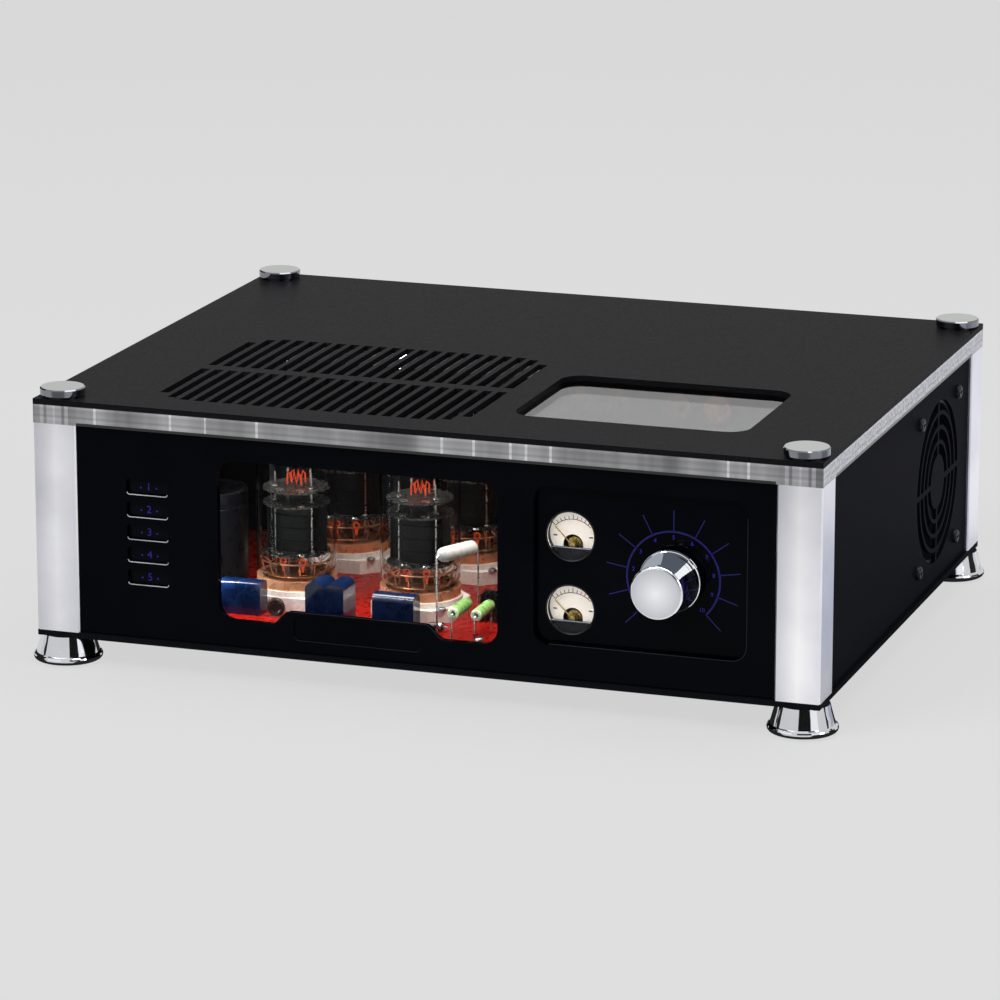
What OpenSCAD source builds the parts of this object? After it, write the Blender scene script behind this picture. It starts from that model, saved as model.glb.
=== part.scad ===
// Integrated tube amplifier: four square columns between a base plate and a two-layer top,
// glass front window over the tubes, level meters, volume knob and source keys.
// Millimetres, +Z up, front towards -Y, origin on the floor under the middle of the whole outline.

/* [Body] */
// Width over the corner columns
body_w = 430; // [420:1:480]
// Depth over the corner columns
body_d = 338; // [330:1:400]
// Height of the corner columns
column_h = 113; // [110:1:140]
// Side of a square corner column
column_w = 24; // [22:1:28]
// Chamfer on the columns' upright edges
column_edge = 0.8; // [0.2:0.1:2]
// Thickness of the base plate
base_t = 3; // [2:0.5:5]
// Distance from the columns' outer faces in to the panels
panel_recess = 2; // [1:0.5:4]
// Depth of the column grooves that hold the panels' ends
groove_depth = 4; // [2:0.5:5]
// Thickness of the acrylic front panel
front_t = 4; // [3:0.5:6]
// Thickness of the metal side and rear panels
sheet_t = 2; // [1.5:0.5:3]

/* [Top] */
// Thickness of the clear sheet under the lid
clear_t = 10; // [6:1:15]
// Thickness of the black lid sheet
lid_t = 3; // [2:0.5:5]
// Vent slots in each row
slot_count = 22; // [12:1:23]
// Distance from slot to slot
slot_pitch = 8.05; // [7:0.05:8.5]
// Width of a vent slot
slot_w = 5; // [3:0.5:6]
// Length of a full vent slot
slot_l = 71; // [50:1:75]
// Bar between the two rows of slots
slot_bar = 9; // [6:1:15]
// Corner radius of the vent field
vent_r = 23; // [10:1:30]
// Rim of the clear sheet's well outside the vent field
well_rim = 2; // [1:0.5:5]
// Middle of the vent field, right of the circuit board's middle
vent_right = 3.7; // [0:0.1:6]
// Middle of the vent field, back from the front
vent_back = 98; // [95:1:105]
// Width of the window in the lid
lid_window_w = 127; // [80:1:130]
// Length of the window in the lid, front to back
lid_window_l = 97; // [60:1:110]
// Corner radius of the window in the lid
lid_window_r = 12; // [4:1:20]
// Middle of the lid window and the mains transformer, back from the front
lid_window_back = 95.5; // [90:0.5:110]

/* [Feet, rods and cap nuts] */
// Height of the base plate above the floor
foot_h = 15.5; // [13:0.5:25]
// Diameter of a foot at its rim
foot_d = 37; // [34:1:44]
// Diameter of a foot under the base plate
foot_top_d = 28; // [24:1:30]
// Radius of the rounded rim of a foot
foot_rim_r = 2.2; // [1:0.1:3]
// Diameter of the rubber pad in a foot
pad_d = 26; // [20:1:28]
// Thickness of the rubber pad
pad_t = 2; // [1.5:0.5:3]
// Height of the pad that shows below the foot
pad_proud = 0.8; // [0.3:0.1:1]
// Diameter of a cap nut
cap_d = 24; // [20:1:28]
// Height of a cap nut
cap_h = 5; // [4:0.5:8]
// Diameter of a tie rod
rod_d = 6; // [5:1:8]
// Depth of thread that a foot gives the rod
rod_grip = 9; // [6:0.5:10]
// Thickness of metal that closes a cap nut over its rod
cap_roof = 1.8; // [1:0.1:3]
// Diameter of the rod holes in the clear sheet
clear_hole_d = 12; // [9:1:16]

/* [Front] */
// Height of the line through the middle of window and keys, above the base plate
middle_rise = 57.4; // [56:0.1:62]
// Width of the front window
window_w = 154.4; // [120:0.2:156]
// Height of the front window
window_h = 86; // [60:1:92]
// Corner radius of the front window
window_r = 9; // [4:1:20]
// Space between the key openings and the front window
window_gap = 28; // [24:0.5:34]
// Height of the tab in the window's lower edge
tab_h = 7.3; // [4:0.1:10]
// Width of the tab at its top
tab_top_w = 75; // [60:1:80]
// Width of the tab at its foot
tab_base_w = 95; // [85:1:110]
// Thickness of the clear pane behind the window
pane_t = 3; // [2:0.5:5]
// Width of panel that the pane and the control plate lie behind
plate_lap = 5; // [3:0.5:6]
// Width of the bare plaque below the window
plaque_w = 70; // [50:1:74]
// Height of the bare plaque
plaque_h = 13; // [8:0.5:14]
// Corner radius of the plaque
plaque_r = 3; // [1:0.5:5]
// Thickness of the plaque
plaque_t = 1.4; // [0.8:0.1:1.8]
// Depth of the plaque's pocket in the front panel
plaque_pocket = 2; // [1.5:0.1:2.5]
// Distance from the tab's top down to the plaque
plaque_drop = 2; // [1:0.5:4]

/* [Keys] */
// Width of a key opening
key_w = 23.4; // [16:0.2:26]
// Height of a key opening
key_h = 8.5; // [6:0.5:9]
// Corner radius of a key opening
key_r = 1.5; // [0.5:0.5:3]
// Distance from key to key
key_pitch = 12.25; // [12:0.25:13]
// Space left of the key openings: the four spaces across the front share the free width
key_margin = 27.6; // [22:0.2:32]
// Distance of a key's face behind the panel's face
key_sink = 2.5; // [1:0.5:3]
// Travel of a key
key_travel = 1.5; // [0.5:0.1:2]
// Distance from the front panel's back to the key board
key_board_back = 12; // [11:0.5:15]
// Side of a key switch
switch_w = 8; // [7:0.5:10]
// Diameter of a key's stem
stem_d = 3.4; // [2.5:0.1:4]

/* [Control plate] */
// Width of the control cut-out
control_w = 114; // [110:1:120]
// Height of the control cut-out
control_h = 84; // [80:1:90]
// Corner radius of the control cut-out
control_r = 8; // [4:1:14]
// Space between the front window and the control cut-out
control_gap = 19.5; // [17:0.5:24]
// Space right of the control cut-out
control_margin = 15.1; // [12:0.1:18]
// Height of the control cut-out's middle above the window's middle
control_lift = 2.3; // [0:0.1:3]
// Thickness of the control plate
plate_t = 3; // [2:0.5:4]
// Diameter of a level meter
meter_d = 27; // [25:0.5:32]
// Distance between the two level meters
meter_pitch = 39; // [38:0.5:42]
// Distance of the meters left of the cut-out's middle
meter_left = 38.5; // [34:0.5:40]
// Distance of the meters' middle below the cut-out's middle
meter_drop = 4.2; // [0:0.1:5]
// Depth of a meter's case behind the control plate's face
meter_depth = 22; // [20:1:26]
// Swing of a meter needle
needle_swing = 90; // [60:5:100]
// Distance of the knob right of the cut-out's middle
knob_right = 16.6; // [12:0.2:18]
// Distance of the knob below the cut-out's middle
knob_drop = 2.2; // [0:0.1:4]
// Diameter of the volume knob's front
knob_d = 28; // [24:1:32]
// Diameter of the volume knob's base
knob_base_d = 33; // [30:1:36]
// Length of the volume knob
knob_l = 26; // [20:1:32]
// Gap between the knob and the control plate
knob_gap = 4; // [3.5:0.5:6]
// Rounded bevel on the knob's front edge
knob_bevel = 1.6; // [1:0.1:3]
// Diameter of the potentiometer's shaft
shaft_d = 6; // [5:0.5:7]
// Turn of the knob from one end of its scale to the other
knob_turn = 270; // [240:5:300]

/* [Fan] */
// Side of the fan's square frame
fan_w = 92; // [80:1:92]
// Thickness of the fan
fan_t = 25; // [25:1:32]
// Distance between the fan's screws
fan_hole_pitch = 82.5; // [71.5:0.5:82.5]
// Diameter of the fan's screws
fan_screw_d = 4; // [3:0.5:5]
// Middle of the fan, forward from the rear
fan_from_rear = 91; // [80:1:100]
// Diameter of the grille's closed middle
grille_hub_d = 30; // [24:1:34]
// Width of a ring slot in the grille
grille_slot = 5.8; // [4:0.1:6]
// Width of the bars between ring slots
grille_bar = 2.3; // [1.5:0.1:2.4]
// Ring slots in the grille
grille_rings = 4; // [2:1:4]
// Blades on the fan's rotor
blade_count = 7; // [5:1:9]

/* [Tubes and circuit board] */
// Width of the circuit board
board_w = 212; // [200:1:214]
// Length of the circuit board, front to back
board_l = 178; // [160:1:182]
// Thickness of the circuit board
board_t = 1.6; // [1:0.1:2.4]
// Height of the board's pillars
pillar_h = 9; // [6:0.5:14]
// Distance of the board behind the front
board_back = 14; // [13:0.5:16]
// Space left of the circuit board: the three spaces inside share the free width
board_gap = 11; // [9:1:16]
// Distance between tubes, side to side
tube_pitch_x = 70; // [60:1:74]
// Distance between tubes, front to back
tube_pitch_y = 81.5; // [64:0.5:84]
// Middle of the four tubes, right of the circuit board's middle
tube_right = 17.6; // [14:0.2:21]
// Middle of the four tubes, back from the front
tube_back = 103.7; // [103:0.1:108]
// Side of a ceramic tube socket
socket_w = 46; // [44:1:47]
// Height of a tube socket above the board
socket_h = 7.4; // [6:0.2:12]
// Height of the round collar on a socket
collar_h = 3; // [1:0.5:5]
// Diameter of a tube's base ring
ring_d = 43; // [40:1:46]
// Height of a tube's base ring
ring_h = 5; // [3:0.5:8]
// Diameter of a tube's glass
glass_d = 43; // [38:1:46]
// Height of a tube's glass
glass_h = 80; // [60:1:84]
// Thickness of a tube's glass
glass_t = 1; // [0.8:0.1:1.6]

/* [Power parts] */
// Space between the circuit board and the mains transformer
core_gap = 9; // [7:1:12]
// Space right of the mains transformer
core_margin = 38; // [34:1:44]
// Outer diameter of the ring-core mains transformer
core_d = 112; // [90:1:114]
// Hole through the mains transformer
core_hole_d = 34; // [24:1:44]
// Height of the mains transformer
core_h = 48; // [36:1:60]
// Width of an output transformer's core
ot_w = 76; // [60:1:84]
// Height of an output transformer's core
ot_h = 64; // [48:1:76]
// Thickness of an output transformer's core
ot_t = 40; // [30:1:46]
// Distance between the two output transformers
ot_pitch = 100; // [96:1:110]
// Middle of the output transformers, forward from the rear
ot_from_rear = 84; // [80:1:90]
// Distance of the output transformers' middle left of the vent field's middle
ot_left = 14.7; // [12:0.1:18]
// Diameter of a smoothing capacitor
can_d = 35; // [25:1:38]
// Height of a smoothing capacitor
can_h = 55; // [40:1:70]
// Distance between smoothing capacitors
can_pitch = 46; // [42:1:50]
// Middle of the four smoothing capacitors, forward from the rear
can_from_rear = 79; // [76:1:84]
// Middle of the smoothing capacitors, right of the mains transformer's middle
can_right = 3; // [0:0.5:8]

/* [Rear] */
// Height of the lower input sockets above the base plate
input_rise = 46; // [40:1:50]
// Distance between input sockets
input_pitch = 24; // [20:1:26]
// Input pairs
input_count = 5; // [2:1:5]
// Distance from the left column to the outermost input pair
input_margin = 31; // [24:1:40]
// Distance between the speaker posts of a pair
post_pitch = 24; // [20:1:30]
// Distance between the two pairs of speaker posts
post_pair_pitch = 60; // [52:1:62]
// Middle of the speaker posts, from the middle of the body
post_x = 20; // [10:1:26]
// Reach of a speaker post from the rear panel
post_l = 26; // [22:1:32]
// Diameter of a speaker post's turning cap
post_cap_d = 16; // [14:0.5:18]
// Diameter of a speaker post's stud
stud_d = 8; // [7:0.5:9]
// Diameter of the plug bore in a speaker post
plug_d = 4; // [3.5:0.1:4.5]
// Depth of the plug bore in a speaker post
plug_depth = 15; // [10:1:18]
// Distance from the right column to the middle of the mains inlet and switch
mains_margin = 43; // [40:1:50]
// Height of the mains inlet above the base plate
inlet_rise = 36; // [30:1:40]
// Height of the power switch above the base plate
rocker_rise = 78; // [70:1:84]
// Tip of the power rocker between off and on
rocker_tip = 20; // [12:1:24]

/* [Hidden] */
$fn = 64;

// Overlap of a cut past the face that it opens
cut = 1;
// Clearance of pieces that are put together and stay still
fit = 0.2;
// Clearance round pieces that move past others
play = 0.3;
// Radial clearance of a shaft in its bearing
run = 0.06;

// Levels from the floor up
deck_z = foot_h + base_t;
clear_z = deck_z + column_h;
lid_z = clear_z + clear_t;
top_z = lid_z + lid_t;
panel_h = column_h - fit;
middle_z = deck_z + middle_rise;

// Planes from front to back
front_y = -body_d/2;
rear_y = body_d/2;
panel_y = front_y + panel_recess;
plate_y = panel_y + front_t;
rear_face_y = rear_y - panel_recess;
side_face_x = body_w/2 - panel_recess;

// The knob's face and the speaker posts reach furthest, and the origin lies halfway between them
front_reach = knob_l + knob_gap - front_t - panel_recess;
rear_reach = post_l - panel_recess;
body_y = (front_reach - rear_reach)/2;

rod_hole_d = rod_d + 2*play;
column_axis_x = body_w/2 - column_w/2;
column_axis_y = body_d/2 - column_w/2;
corners = [[-1, -1], [1, -1], [-1, 1], [1, 1]];

// Across the front: openings between the columns, with spaces that share the free width
inner_w = body_w - 2*column_w;
inner_x = inner_w/2;
front_free = inner_w - key_w - window_w - control_w;
front_space = front_free/(key_margin + window_gap + control_gap + control_margin);
key_x = -inner_x + key_margin*front_space + key_w/2;
window_x = key_x + key_w/2 + window_gap*front_space + window_w/2;
control_x = window_x + window_w/2 + control_gap*front_space + control_w/2;

// Across the inside: circuit board and mains transformer, with spaces that share the free width
inside_space = (inner_w - board_w - core_d)/(board_gap + core_gap + core_margin);
board_x = -inner_x + board_gap*inside_space + board_w/2;
core_x = board_x + board_w/2 + core_gap*inside_space + core_d/2;
tube_x = board_x + tube_right;
vent_x = board_x + vent_right;

// Across the rear
input_x = -inner_x + input_margin;
mains_x = inner_x - mains_margin;

// Top openings
vent_w = (slot_count - 1)*slot_pitch + slot_w;
vent_l = 2*slot_l + slot_bar;
vent_y = front_y + vent_back;
core_y = front_y + lid_window_back;

// Front openings
front_panel_w = inner_w + 2*(groove_depth - fit);
side_panel_w = body_d - 2*column_w + 2*(groove_depth - fit);
key_count = 5;
control_z = middle_z + control_lift;
knob_x = control_x + knob_right;
knob_z = control_z - knob_drop;
meter_x = control_x - meter_left;
meter_z = control_z - meter_drop;
plaque_z = middle_z - window_h/2 + tab_h - plaque_drop - plaque_h/2;

// Keys and their switches, from front to back
key_flange = 1.5;
key_flange_t = 1.5;
switch_t = 5;
stem_reach = key_board_back - switch_t + 1.2;
key_post_d = 6;
key_post_gap = 1.2;
key_post_z = (key_count - 1)/2*key_pitch + key_h/2 + key_flange + key_post_gap + key_post_d/2;
key_board_side = 6;
key_board_end = 2;
key_board_w = key_w + 2*key_board_side;
key_board_h = 2*key_post_z + key_post_d + 2*key_board_end;

// Level meter, depths behind the control plate's face
meter_inset = 0.3;
meter_wall = 0.9;
meter_lens_t = 1.4;
meter_mask_at = meter_inset + meter_lens_t + 0.6;
meter_mask_t = 0.6;
meter_needle_at = meter_mask_at + meter_mask_t + 0.5;
meter_needle_t = 0.5;
meter_dial_at = meter_needle_at + meter_needle_t + 0.9;
meter_dial_t = 0.8;
meter_back_t = 2;
meter_bore_r = meter_d/2 - meter_wall;
meter_well_r = meter_bore_r - 1.6;
meter_mask_line = -0.23*meter_d;
needle_pivot_z = -5.5;
needle_l = meter_bore_r - needle_pivot_z - 5;
needle_tail = 4;
arbor_r = 0.5;
coil_r = 3.6;
coil_clear = 1.5;
arch_r = coil_r + 1.8;

// Volume control, depths behind the control plate's face
pot_w = 24;
pot_depth = 12;
bush_d = 10;
bush_reach = 3;
pot_nut_t = 2;
pot_nut_d = 15;
knob_bore_depth = 0.65*knob_l;
shaft_tip_gap = 0.5;

// Fan, depths inwards from the right panel
fan_y = rear_y - fan_from_rear;
fan_z = deck_z + column_h/2;
fan_bore_r = fan_w/2 - 2.5;
blade_r = fan_bore_r - 2;
hub_r = 17;
hub_wall = 1.6;
hub_front = 4;
motor_seat_t = 3;
stator_r = hub_r - hub_wall - 2;
spindle_r = 1.5;
spoke_w = 3;
screw_head_d = fan_screw_d + 3.5;
screw_head_t = 2.4;

// Board, sockets and tubes
board_z = deck_z + pillar_h;
board_top = board_z + board_t;
board_y = front_y + board_back + board_l/2;
pillar_d = 7;
pillar_inset = 6;
collar_z = board_top + socket_h;
ring_z = collar_z + collar_h;
glass_seat = 2;
ring_bore_r = ring_d/2 - 3;
neck_r = ring_bore_r - fit;
glass_z = ring_z + glass_seat;
tube_y = front_y + tube_back;
tube_places = [for (c = corners) [tube_x + c[0]*tube_pitch_x/2, tube_y + c[1]*tube_pitch_y/2]];
dome_h = 15;
shoulder_h = 5;

// Small parts on the board, right of the tubes' middle and back from the front
film_right = [-53.6, 32.4];
pair_right = -5.6;
pair_gap = 0.6;
film_back = 32;
film_l = 23;
film_w = 10.5;
film_h = 18;
pair_back = 35;
pair_l = 18;
pair_h = 21;
film_r = 3.5;
lead_d = 1;
resistor_d = 6.5;
resistor_l = 22;
resistor_lift = 13.5;
resistor_back = 31;
resistor_right = [68.4, 81];
pill_d = 8;
pill_l = 27;
pill_lift = 41.5;
pill_right = 63.8;
pill_back = 40;
pill_turn = 63;

// Power parts
core_r = 8;
bolt_d = 8;
dish_lap = 13;
dish_d = core_hole_d + 2*dish_lap;
dish_t = 2;
ot_x = vent_x - ot_left;
ot_y = rear_y - ot_from_rear;
can_x = core_x + can_right;
can_y = rear_y - can_from_rear;
clamp_h = 12;
clamp_t = 1.5;

// Rear fittings
input_z = deck_z + input_rise;
input_flange_d = 12;
input_flange_t = 1.6;
input_barrel_d = 8.3;
input_reach = 10;
input_hole_d = 3.2;
input_tail_d = 7;
input_tail = 10;
nut_t = 2.5;
post_z = deck_z + input_rise + input_pitch/2;
post_flange_t = 4;
post_places = [for (pair = [-1, 1], side = [-1, 1]) post_x + pair*post_pair_pitch/2 + side*post_pitch/2];
inlet_z = deck_z + inlet_rise;
inlet_flange = [50, 24, 3];
inlet_shell = [29, 21, 18];
inlet_mouth = [24.5, 16.5];
inlet_cut = 4;
inlet_floor = 4;
pin_size = [2, 4];
pin_short = 5;
pin_places = [[-7, -2], [7, -2], [0, 2]];
rocker_z = deck_z + rocker_rise;
rocker_w = 10;
rocker_r = 8;
rocker_axle_r = 1;
rocker_axle_l = 1;
rocker_pivot = 1;
switch_rim = 2;
switch_body = [14, 20, 14];
switch_flange = [18, 24];

// Shapes used more than once

// Rectangle with round corners, centred
module round_rect(w, h, r) {
    square([w - 2*r, h], center = true);
    square([w, h - 2*r], center = true);
    for (c = corners) translate([c[0]*(w/2 - r), c[1]*(h/2 - r)]) circle(r);
}

// Plate standing across the body: the outline's X and Y become X and Z, from y back by t
module upright(y, t) {
    translate([0, y + t, 0]) rotate([90, 0, 0]) linear_extrude(t) children();
}

// Plate standing along the body: the outline's X and Y become Y and Z, from x to the right by t
module sideways(x, t) {
    translate([x, 0, 0]) rotate([90, 0, 90]) linear_extrude(t) children();
}

// Shape whose own Z axis points to the rear, with its own Y axis up
module rearward(x, y, z) {
    translate([x, y, z]) rotate([90, 0, 0]) mirror([0, 0, 1]) children();
}

// Copies of a flat or upright shape at the four column axes
module at_columns() {
    for (c = corners) translate([c[0]*column_axis_x, c[1]*column_axis_y]) children();
}

// Points on an arc
function arc(x, y, r, from, to, steps) =
    [for (i = [0:steps]) let (a = from + (to - from)*i/steps) [x + r*cos(a), y + r*sin(a)]];

// Chassis

module base_plate() {
    base_slots = 12;
    base_slot_pitch = 13;
    color("#1c1c1f") translate([0, 0, foot_h]) linear_extrude(base_t) difference() {
        square([body_w, body_d], center = true);
        at_columns() circle(d = rod_hole_d);
        for (i = [0:base_slots - 1])
            translate([tube_x + (i - (base_slots - 1)/2)*base_slot_pitch, tube_y])
                square([slot_w, slot_l], center = true);
    }
}

// Section of a column with its outer corner at the origin: grooves for the panels, hole for the rod
module column_section(cross_t) {
    difference() {
        polygon([[column_edge, 0], [column_w - column_edge, 0], [column_w, column_edge],
            [column_w, column_w - column_edge], [column_w - column_edge, column_w], [column_edge, column_w],
            [0, column_w - column_edge], [0, column_edge]]);
        translate([column_w - groove_depth, panel_recess - fit/2])
            square([groove_depth + cut, cross_t + fit]);
        translate([panel_recess - fit/2, column_w - groove_depth])
            square([sheet_t + fit, groove_depth + cut]);
        translate([column_w/2, column_w/2]) circle(d = rod_hole_d);
    }
}

module column(corner) {
    cross_t = corner[1] < 0 ? front_t : sheet_t;
    color("#dcdee2") translate([corner[0]*body_w/2, corner[1]*body_d/2, deck_z])
        mirror([corner[0] > 0 ? 1 : 0, 0, 0]) mirror([0, corner[1] > 0 ? 1 : 0, 0])
            linear_extrude(column_h) column_section(cross_t);
}

// Turned foot: flared cone with a rounded rim, threaded hole above and a seat for the pad below
module feet() {
    seat_z = pad_t;
    rim_x = foot_d/2 - foot_rim_r;
    rim_z = pad_proud + foot_rim_r;
    profile = concat(
        [[0, seat_z], [pad_d/2 + fit, seat_z], [pad_d/2 + fit, pad_proud]],
        arc(rim_x, rim_z, foot_rim_r, -90, 75, 8),
        [[foot_top_d/2, foot_h], [rod_hole_d/2, foot_h], [rod_hole_d/2, foot_h - rod_grip],
            [0, foot_h - rod_grip]]);
    color("#c9ccd2") at_columns() rotate_extrude() polygon(profile);
}

module foot_pads() {
    color("#151515") at_columns() cylinder(d = pad_d, h = pad_t);
}

module tie_rods() {
    rod_foot = foot_h - rod_grip + fit;
    rod_top = top_z + cap_h - cap_roof - fit;
    color("#b4b8be") at_columns() translate([0, 0, rod_foot]) cylinder(d = rod_d, h = rod_top - rod_foot);
}

// Low round nut: a narrow neck keeps it just off the lid, and both edges are bevelled
module cap_nuts() {
    neck_h = 0.8;
    neck_in = 1.6;
    lower_bevel = 0.4;
    upper_bevel = 0.6;
    r = cap_d/2;
    profile = [[rod_hole_d/2, 0], [r - neck_in, 0], [r - neck_in, neck_h], [r - lower_bevel, neck_h],
        [r, neck_h + lower_bevel], [r, cap_h - upper_bevel], [r - upper_bevel, cap_h], [0, cap_h],
        [0, cap_h - cap_roof], [rod_hole_d/2, cap_h - cap_roof]];
    color("#d3d6da") at_columns() translate([0, 0, top_z]) rotate_extrude() polygon(profile);
}

module clear_sheet() {
    color("#d8dde0", 0.4) translate([0, 0, clear_z]) linear_extrude(clear_t) difference() {
        square([body_w, body_d], center = true);
        at_columns() circle(d = clear_hole_d);
        translate([vent_x, vent_y]) round_rect(vent_w + 2*well_rim, vent_l + 2*well_rim, vent_r + well_rim);
    }
}

// How much the round corner of the vent field shortens a slot at this distance in from its side
function corner_loss(inset) =
    inset < vent_r ? vent_r - sqrt(vent_r*vent_r - (vent_r - inset)*(vent_r - inset)) : 0;

module vent_slots() {
    for (i = [0:slot_count - 1]) {
        inset = min(i, slot_count - 1 - i)*slot_pitch + slot_w/2;
        l = slot_l - corner_loss(inset);
        x = (i - (slot_count - 1)/2)*slot_pitch;
        for (side = [-1, 1]) translate([x, side*(slot_bar/2 + l/2)]) square([slot_w, l], center = true);
    }
}

module lid_sheet() {
    color("#262628") translate([0, 0, lid_z]) linear_extrude(lid_t) difference() {
        square([body_w, body_d], center = true);
        at_columns() circle(d = rod_hole_d);
        translate([vent_x, vent_y]) vent_slots();
        translate([core_x, core_y]) round_rect(lid_window_w, lid_window_l, lid_window_r);
    }
}

// Panels

// Tab that rises in the window's lower edge, on two S-shaped flanks
module window_tab() {
    steps = 10;
    flank = (tab_base_w - tab_top_w)/2;
    left = [for (i = [0:steps]) [-tab_base_w/2 + flank*i/steps, tab_h*(1 - cos(180*i/steps))/2]];
    right = [for (i = [steps:-1:0]) [-left[i][0], left[i][1]]];
    polygon(concat([[-tab_base_w/2, -cut]], left, right, [[tab_base_w/2, -cut]]));
}

module window_outline() {
    translate([window_x, middle_z]) difference() {
        round_rect(window_w, window_h, window_r);
        translate([0, -window_h/2]) window_tab();
    }
}

module at_keys() {
    for (i = [0:key_count - 1]) translate([key_x, middle_z + ((key_count - 1)/2 - i)*key_pitch]) children();
}

module front_panel() {
    color("#08090c") difference() {
        upright(panel_y, front_t) difference() {
            translate([0, deck_z + panel_h/2]) square([front_panel_w, panel_h], center = true);
            window_outline();
            at_keys() round_rect(key_w, key_h, key_r);
            translate([control_x, control_z]) round_rect(control_w, control_h, control_r);
        }
        upright(panel_y - cut, plaque_pocket + cut) translate([window_x, plaque_z])
            round_rect(plaque_w + 2*fit, plaque_h + 2*fit, plaque_r + fit);
    }
}

module window_pane() {
    color("#cfd6da", 0.3) upright(plate_y, pane_t) translate([window_x, middle_z])
        round_rect(window_w + 2*plate_lap, window_h + 2*plate_lap, window_r + plate_lap);
}

module name_plaque() {
    color("#0b0c10") upright(panel_y + plaque_pocket - plaque_t, plaque_t) translate([window_x, plaque_z])
        round_rect(plaque_w, plaque_h, plaque_r);
}

module control_plate() {
    color("#08090c") upright(plate_y, plate_t) difference() {
        translate([control_x, control_z])
            round_rect(control_w + 2*plate_lap, control_h + 2*plate_lap, control_r + plate_lap);
        for (side = [-1, 1]) translate([meter_x, meter_z + side*meter_pitch/2]) circle(d = meter_d + 2*fit);
        translate([knob_x, knob_z]) circle(d = bush_d + 2*fit);
    }
}

module left_panel() {
    color("#1e2024") sideways(-side_face_x, sheet_t)
        translate([0, deck_z + panel_h/2]) square([side_panel_w, panel_h], center = true);
}

module at_fan_holes() {
    for (c = corners) translate([c[0]*fan_hole_pitch/2, c[1]*fan_hole_pitch/2]) children();
}

// Ring slots round a closed middle, crossed by two bars
module fan_grille() {
    difference() {
        for (i = [0:grille_rings - 1]) {
            inner = grille_hub_d/2 + i*(grille_slot + grille_bar);
            difference() {
                circle(inner + grille_slot);
                circle(inner);
            }
        }
        for (a = [0, 90]) rotate(a) square([fan_w, spoke_w], center = true);
    }
}

module right_panel() {
    color("#1e2024") sideways(side_face_x - sheet_t, sheet_t) difference() {
        translate([0, deck_z + panel_h/2]) square([side_panel_w, panel_h], center = true);
        translate([fan_y, fan_z]) fan_grille();
        translate([fan_y, fan_z]) at_fan_holes() circle(d = fan_screw_d + 2*fit);
    }
}

module at_inputs() {
    for (i = [0:input_count - 1], row = [0, 1])
        translate([input_x + i*input_pitch, input_z + row*input_pitch]) children();
}

module rear_panel() {
    color("#1e2024") upright(rear_face_y - sheet_t, sheet_t) difference() {
        translate([0, deck_z + panel_h/2]) square([front_panel_w, panel_h], center = true);
        at_inputs() circle(d = input_tail_d + 2*fit);
        for (x = post_places) translate([x, post_z]) circle(d = stud_d + 2*fit);
        translate([mains_x, inlet_z])
            square([inlet_shell[0] + 2*fit, inlet_shell[1] + 2*fit], center = true);
        translate([mains_x, rocker_z])
            square([switch_body[0] + 2*fit, switch_body[1] + 2*fit], center = true);
    }
}

// Fan: its own Z axis points outwards through the right panel

module at_fan() {
    translate([side_face_x - sheet_t, fan_y, fan_z]) rotate([90, 0, 90]) children();
}

module fan_frame() {
    boss_top = fan_t - hub_front - hub_wall - 2;
    color("#17181b") at_fan() translate([0, 0, -fan_t]) difference() {
        union() {
            linear_extrude(fan_t) difference() {
                round_rect(fan_w, fan_w, 4);
                circle(fan_bore_r);
                at_fan_holes() circle(d = fan_screw_d + 2*fit);
            }
            linear_extrude(motor_seat_t) intersection() {
                circle(fan_bore_r + cut);
                union() {
                    circle(hub_r);
                    for (a = [45, 135]) rotate(a) square([fan_w, spoke_w], center = true);
                }
            }
            cylinder(r = stator_r, h = boss_top);
        }
        translate([0, 0, -cut]) cylinder(r = spindle_r + run, h = fan_t);
    }
}

// Cup-shaped hub over the motor, flat blades set at a pitch, spindle in the motor's bearing
module fan_rotor() {
    cup_z = motor_seat_t + 1;
    cup_h = fan_t - hub_front - cup_z;
    blade_chord = 15;
    blade_t = 1.4;
    blade_pitch = 38;
    color("#202226") at_fan() translate([0, 0, -fan_t]) {
        difference() {
            translate([0, 0, cup_z]) cylinder(r = hub_r, h = cup_h);
            translate([0, 0, cup_z - cut]) cylinder(r = hub_r - hub_wall, h = cup_h - hub_wall + cut);
        }
        translate([0, 0, cut]) cylinder(r = spindle_r, h = cup_z + cup_h - 2*cut);
        intersection() {
            difference() {
                translate([0, 0, cup_z]) cylinder(r = blade_r, h = cup_h);
                translate([0, 0, cup_z - cut]) cylinder(r = hub_r - hub_wall/2, h = fan_t);
            }
            for (i = [0:blade_count - 1]) rotate(i*360/blade_count)
                translate([blade_r/2, 0, cup_z + cup_h/2]) rotate([blade_pitch, 0, 0])
                    cube([blade_r + 2*cut, blade_chord, blade_t], center = true);
        }
    }
}

module fan_screws() {
    color("#8f9298") at_fan() at_fan_holes() {
        translate([0, 0, sheet_t]) cylinder(d = screw_head_d, h = screw_head_t);
        translate([0, 0, -fan_t/2]) cylinder(d = fan_screw_d, h = fan_t/2 + sheet_t);
    }
}

// Volume control

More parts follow.
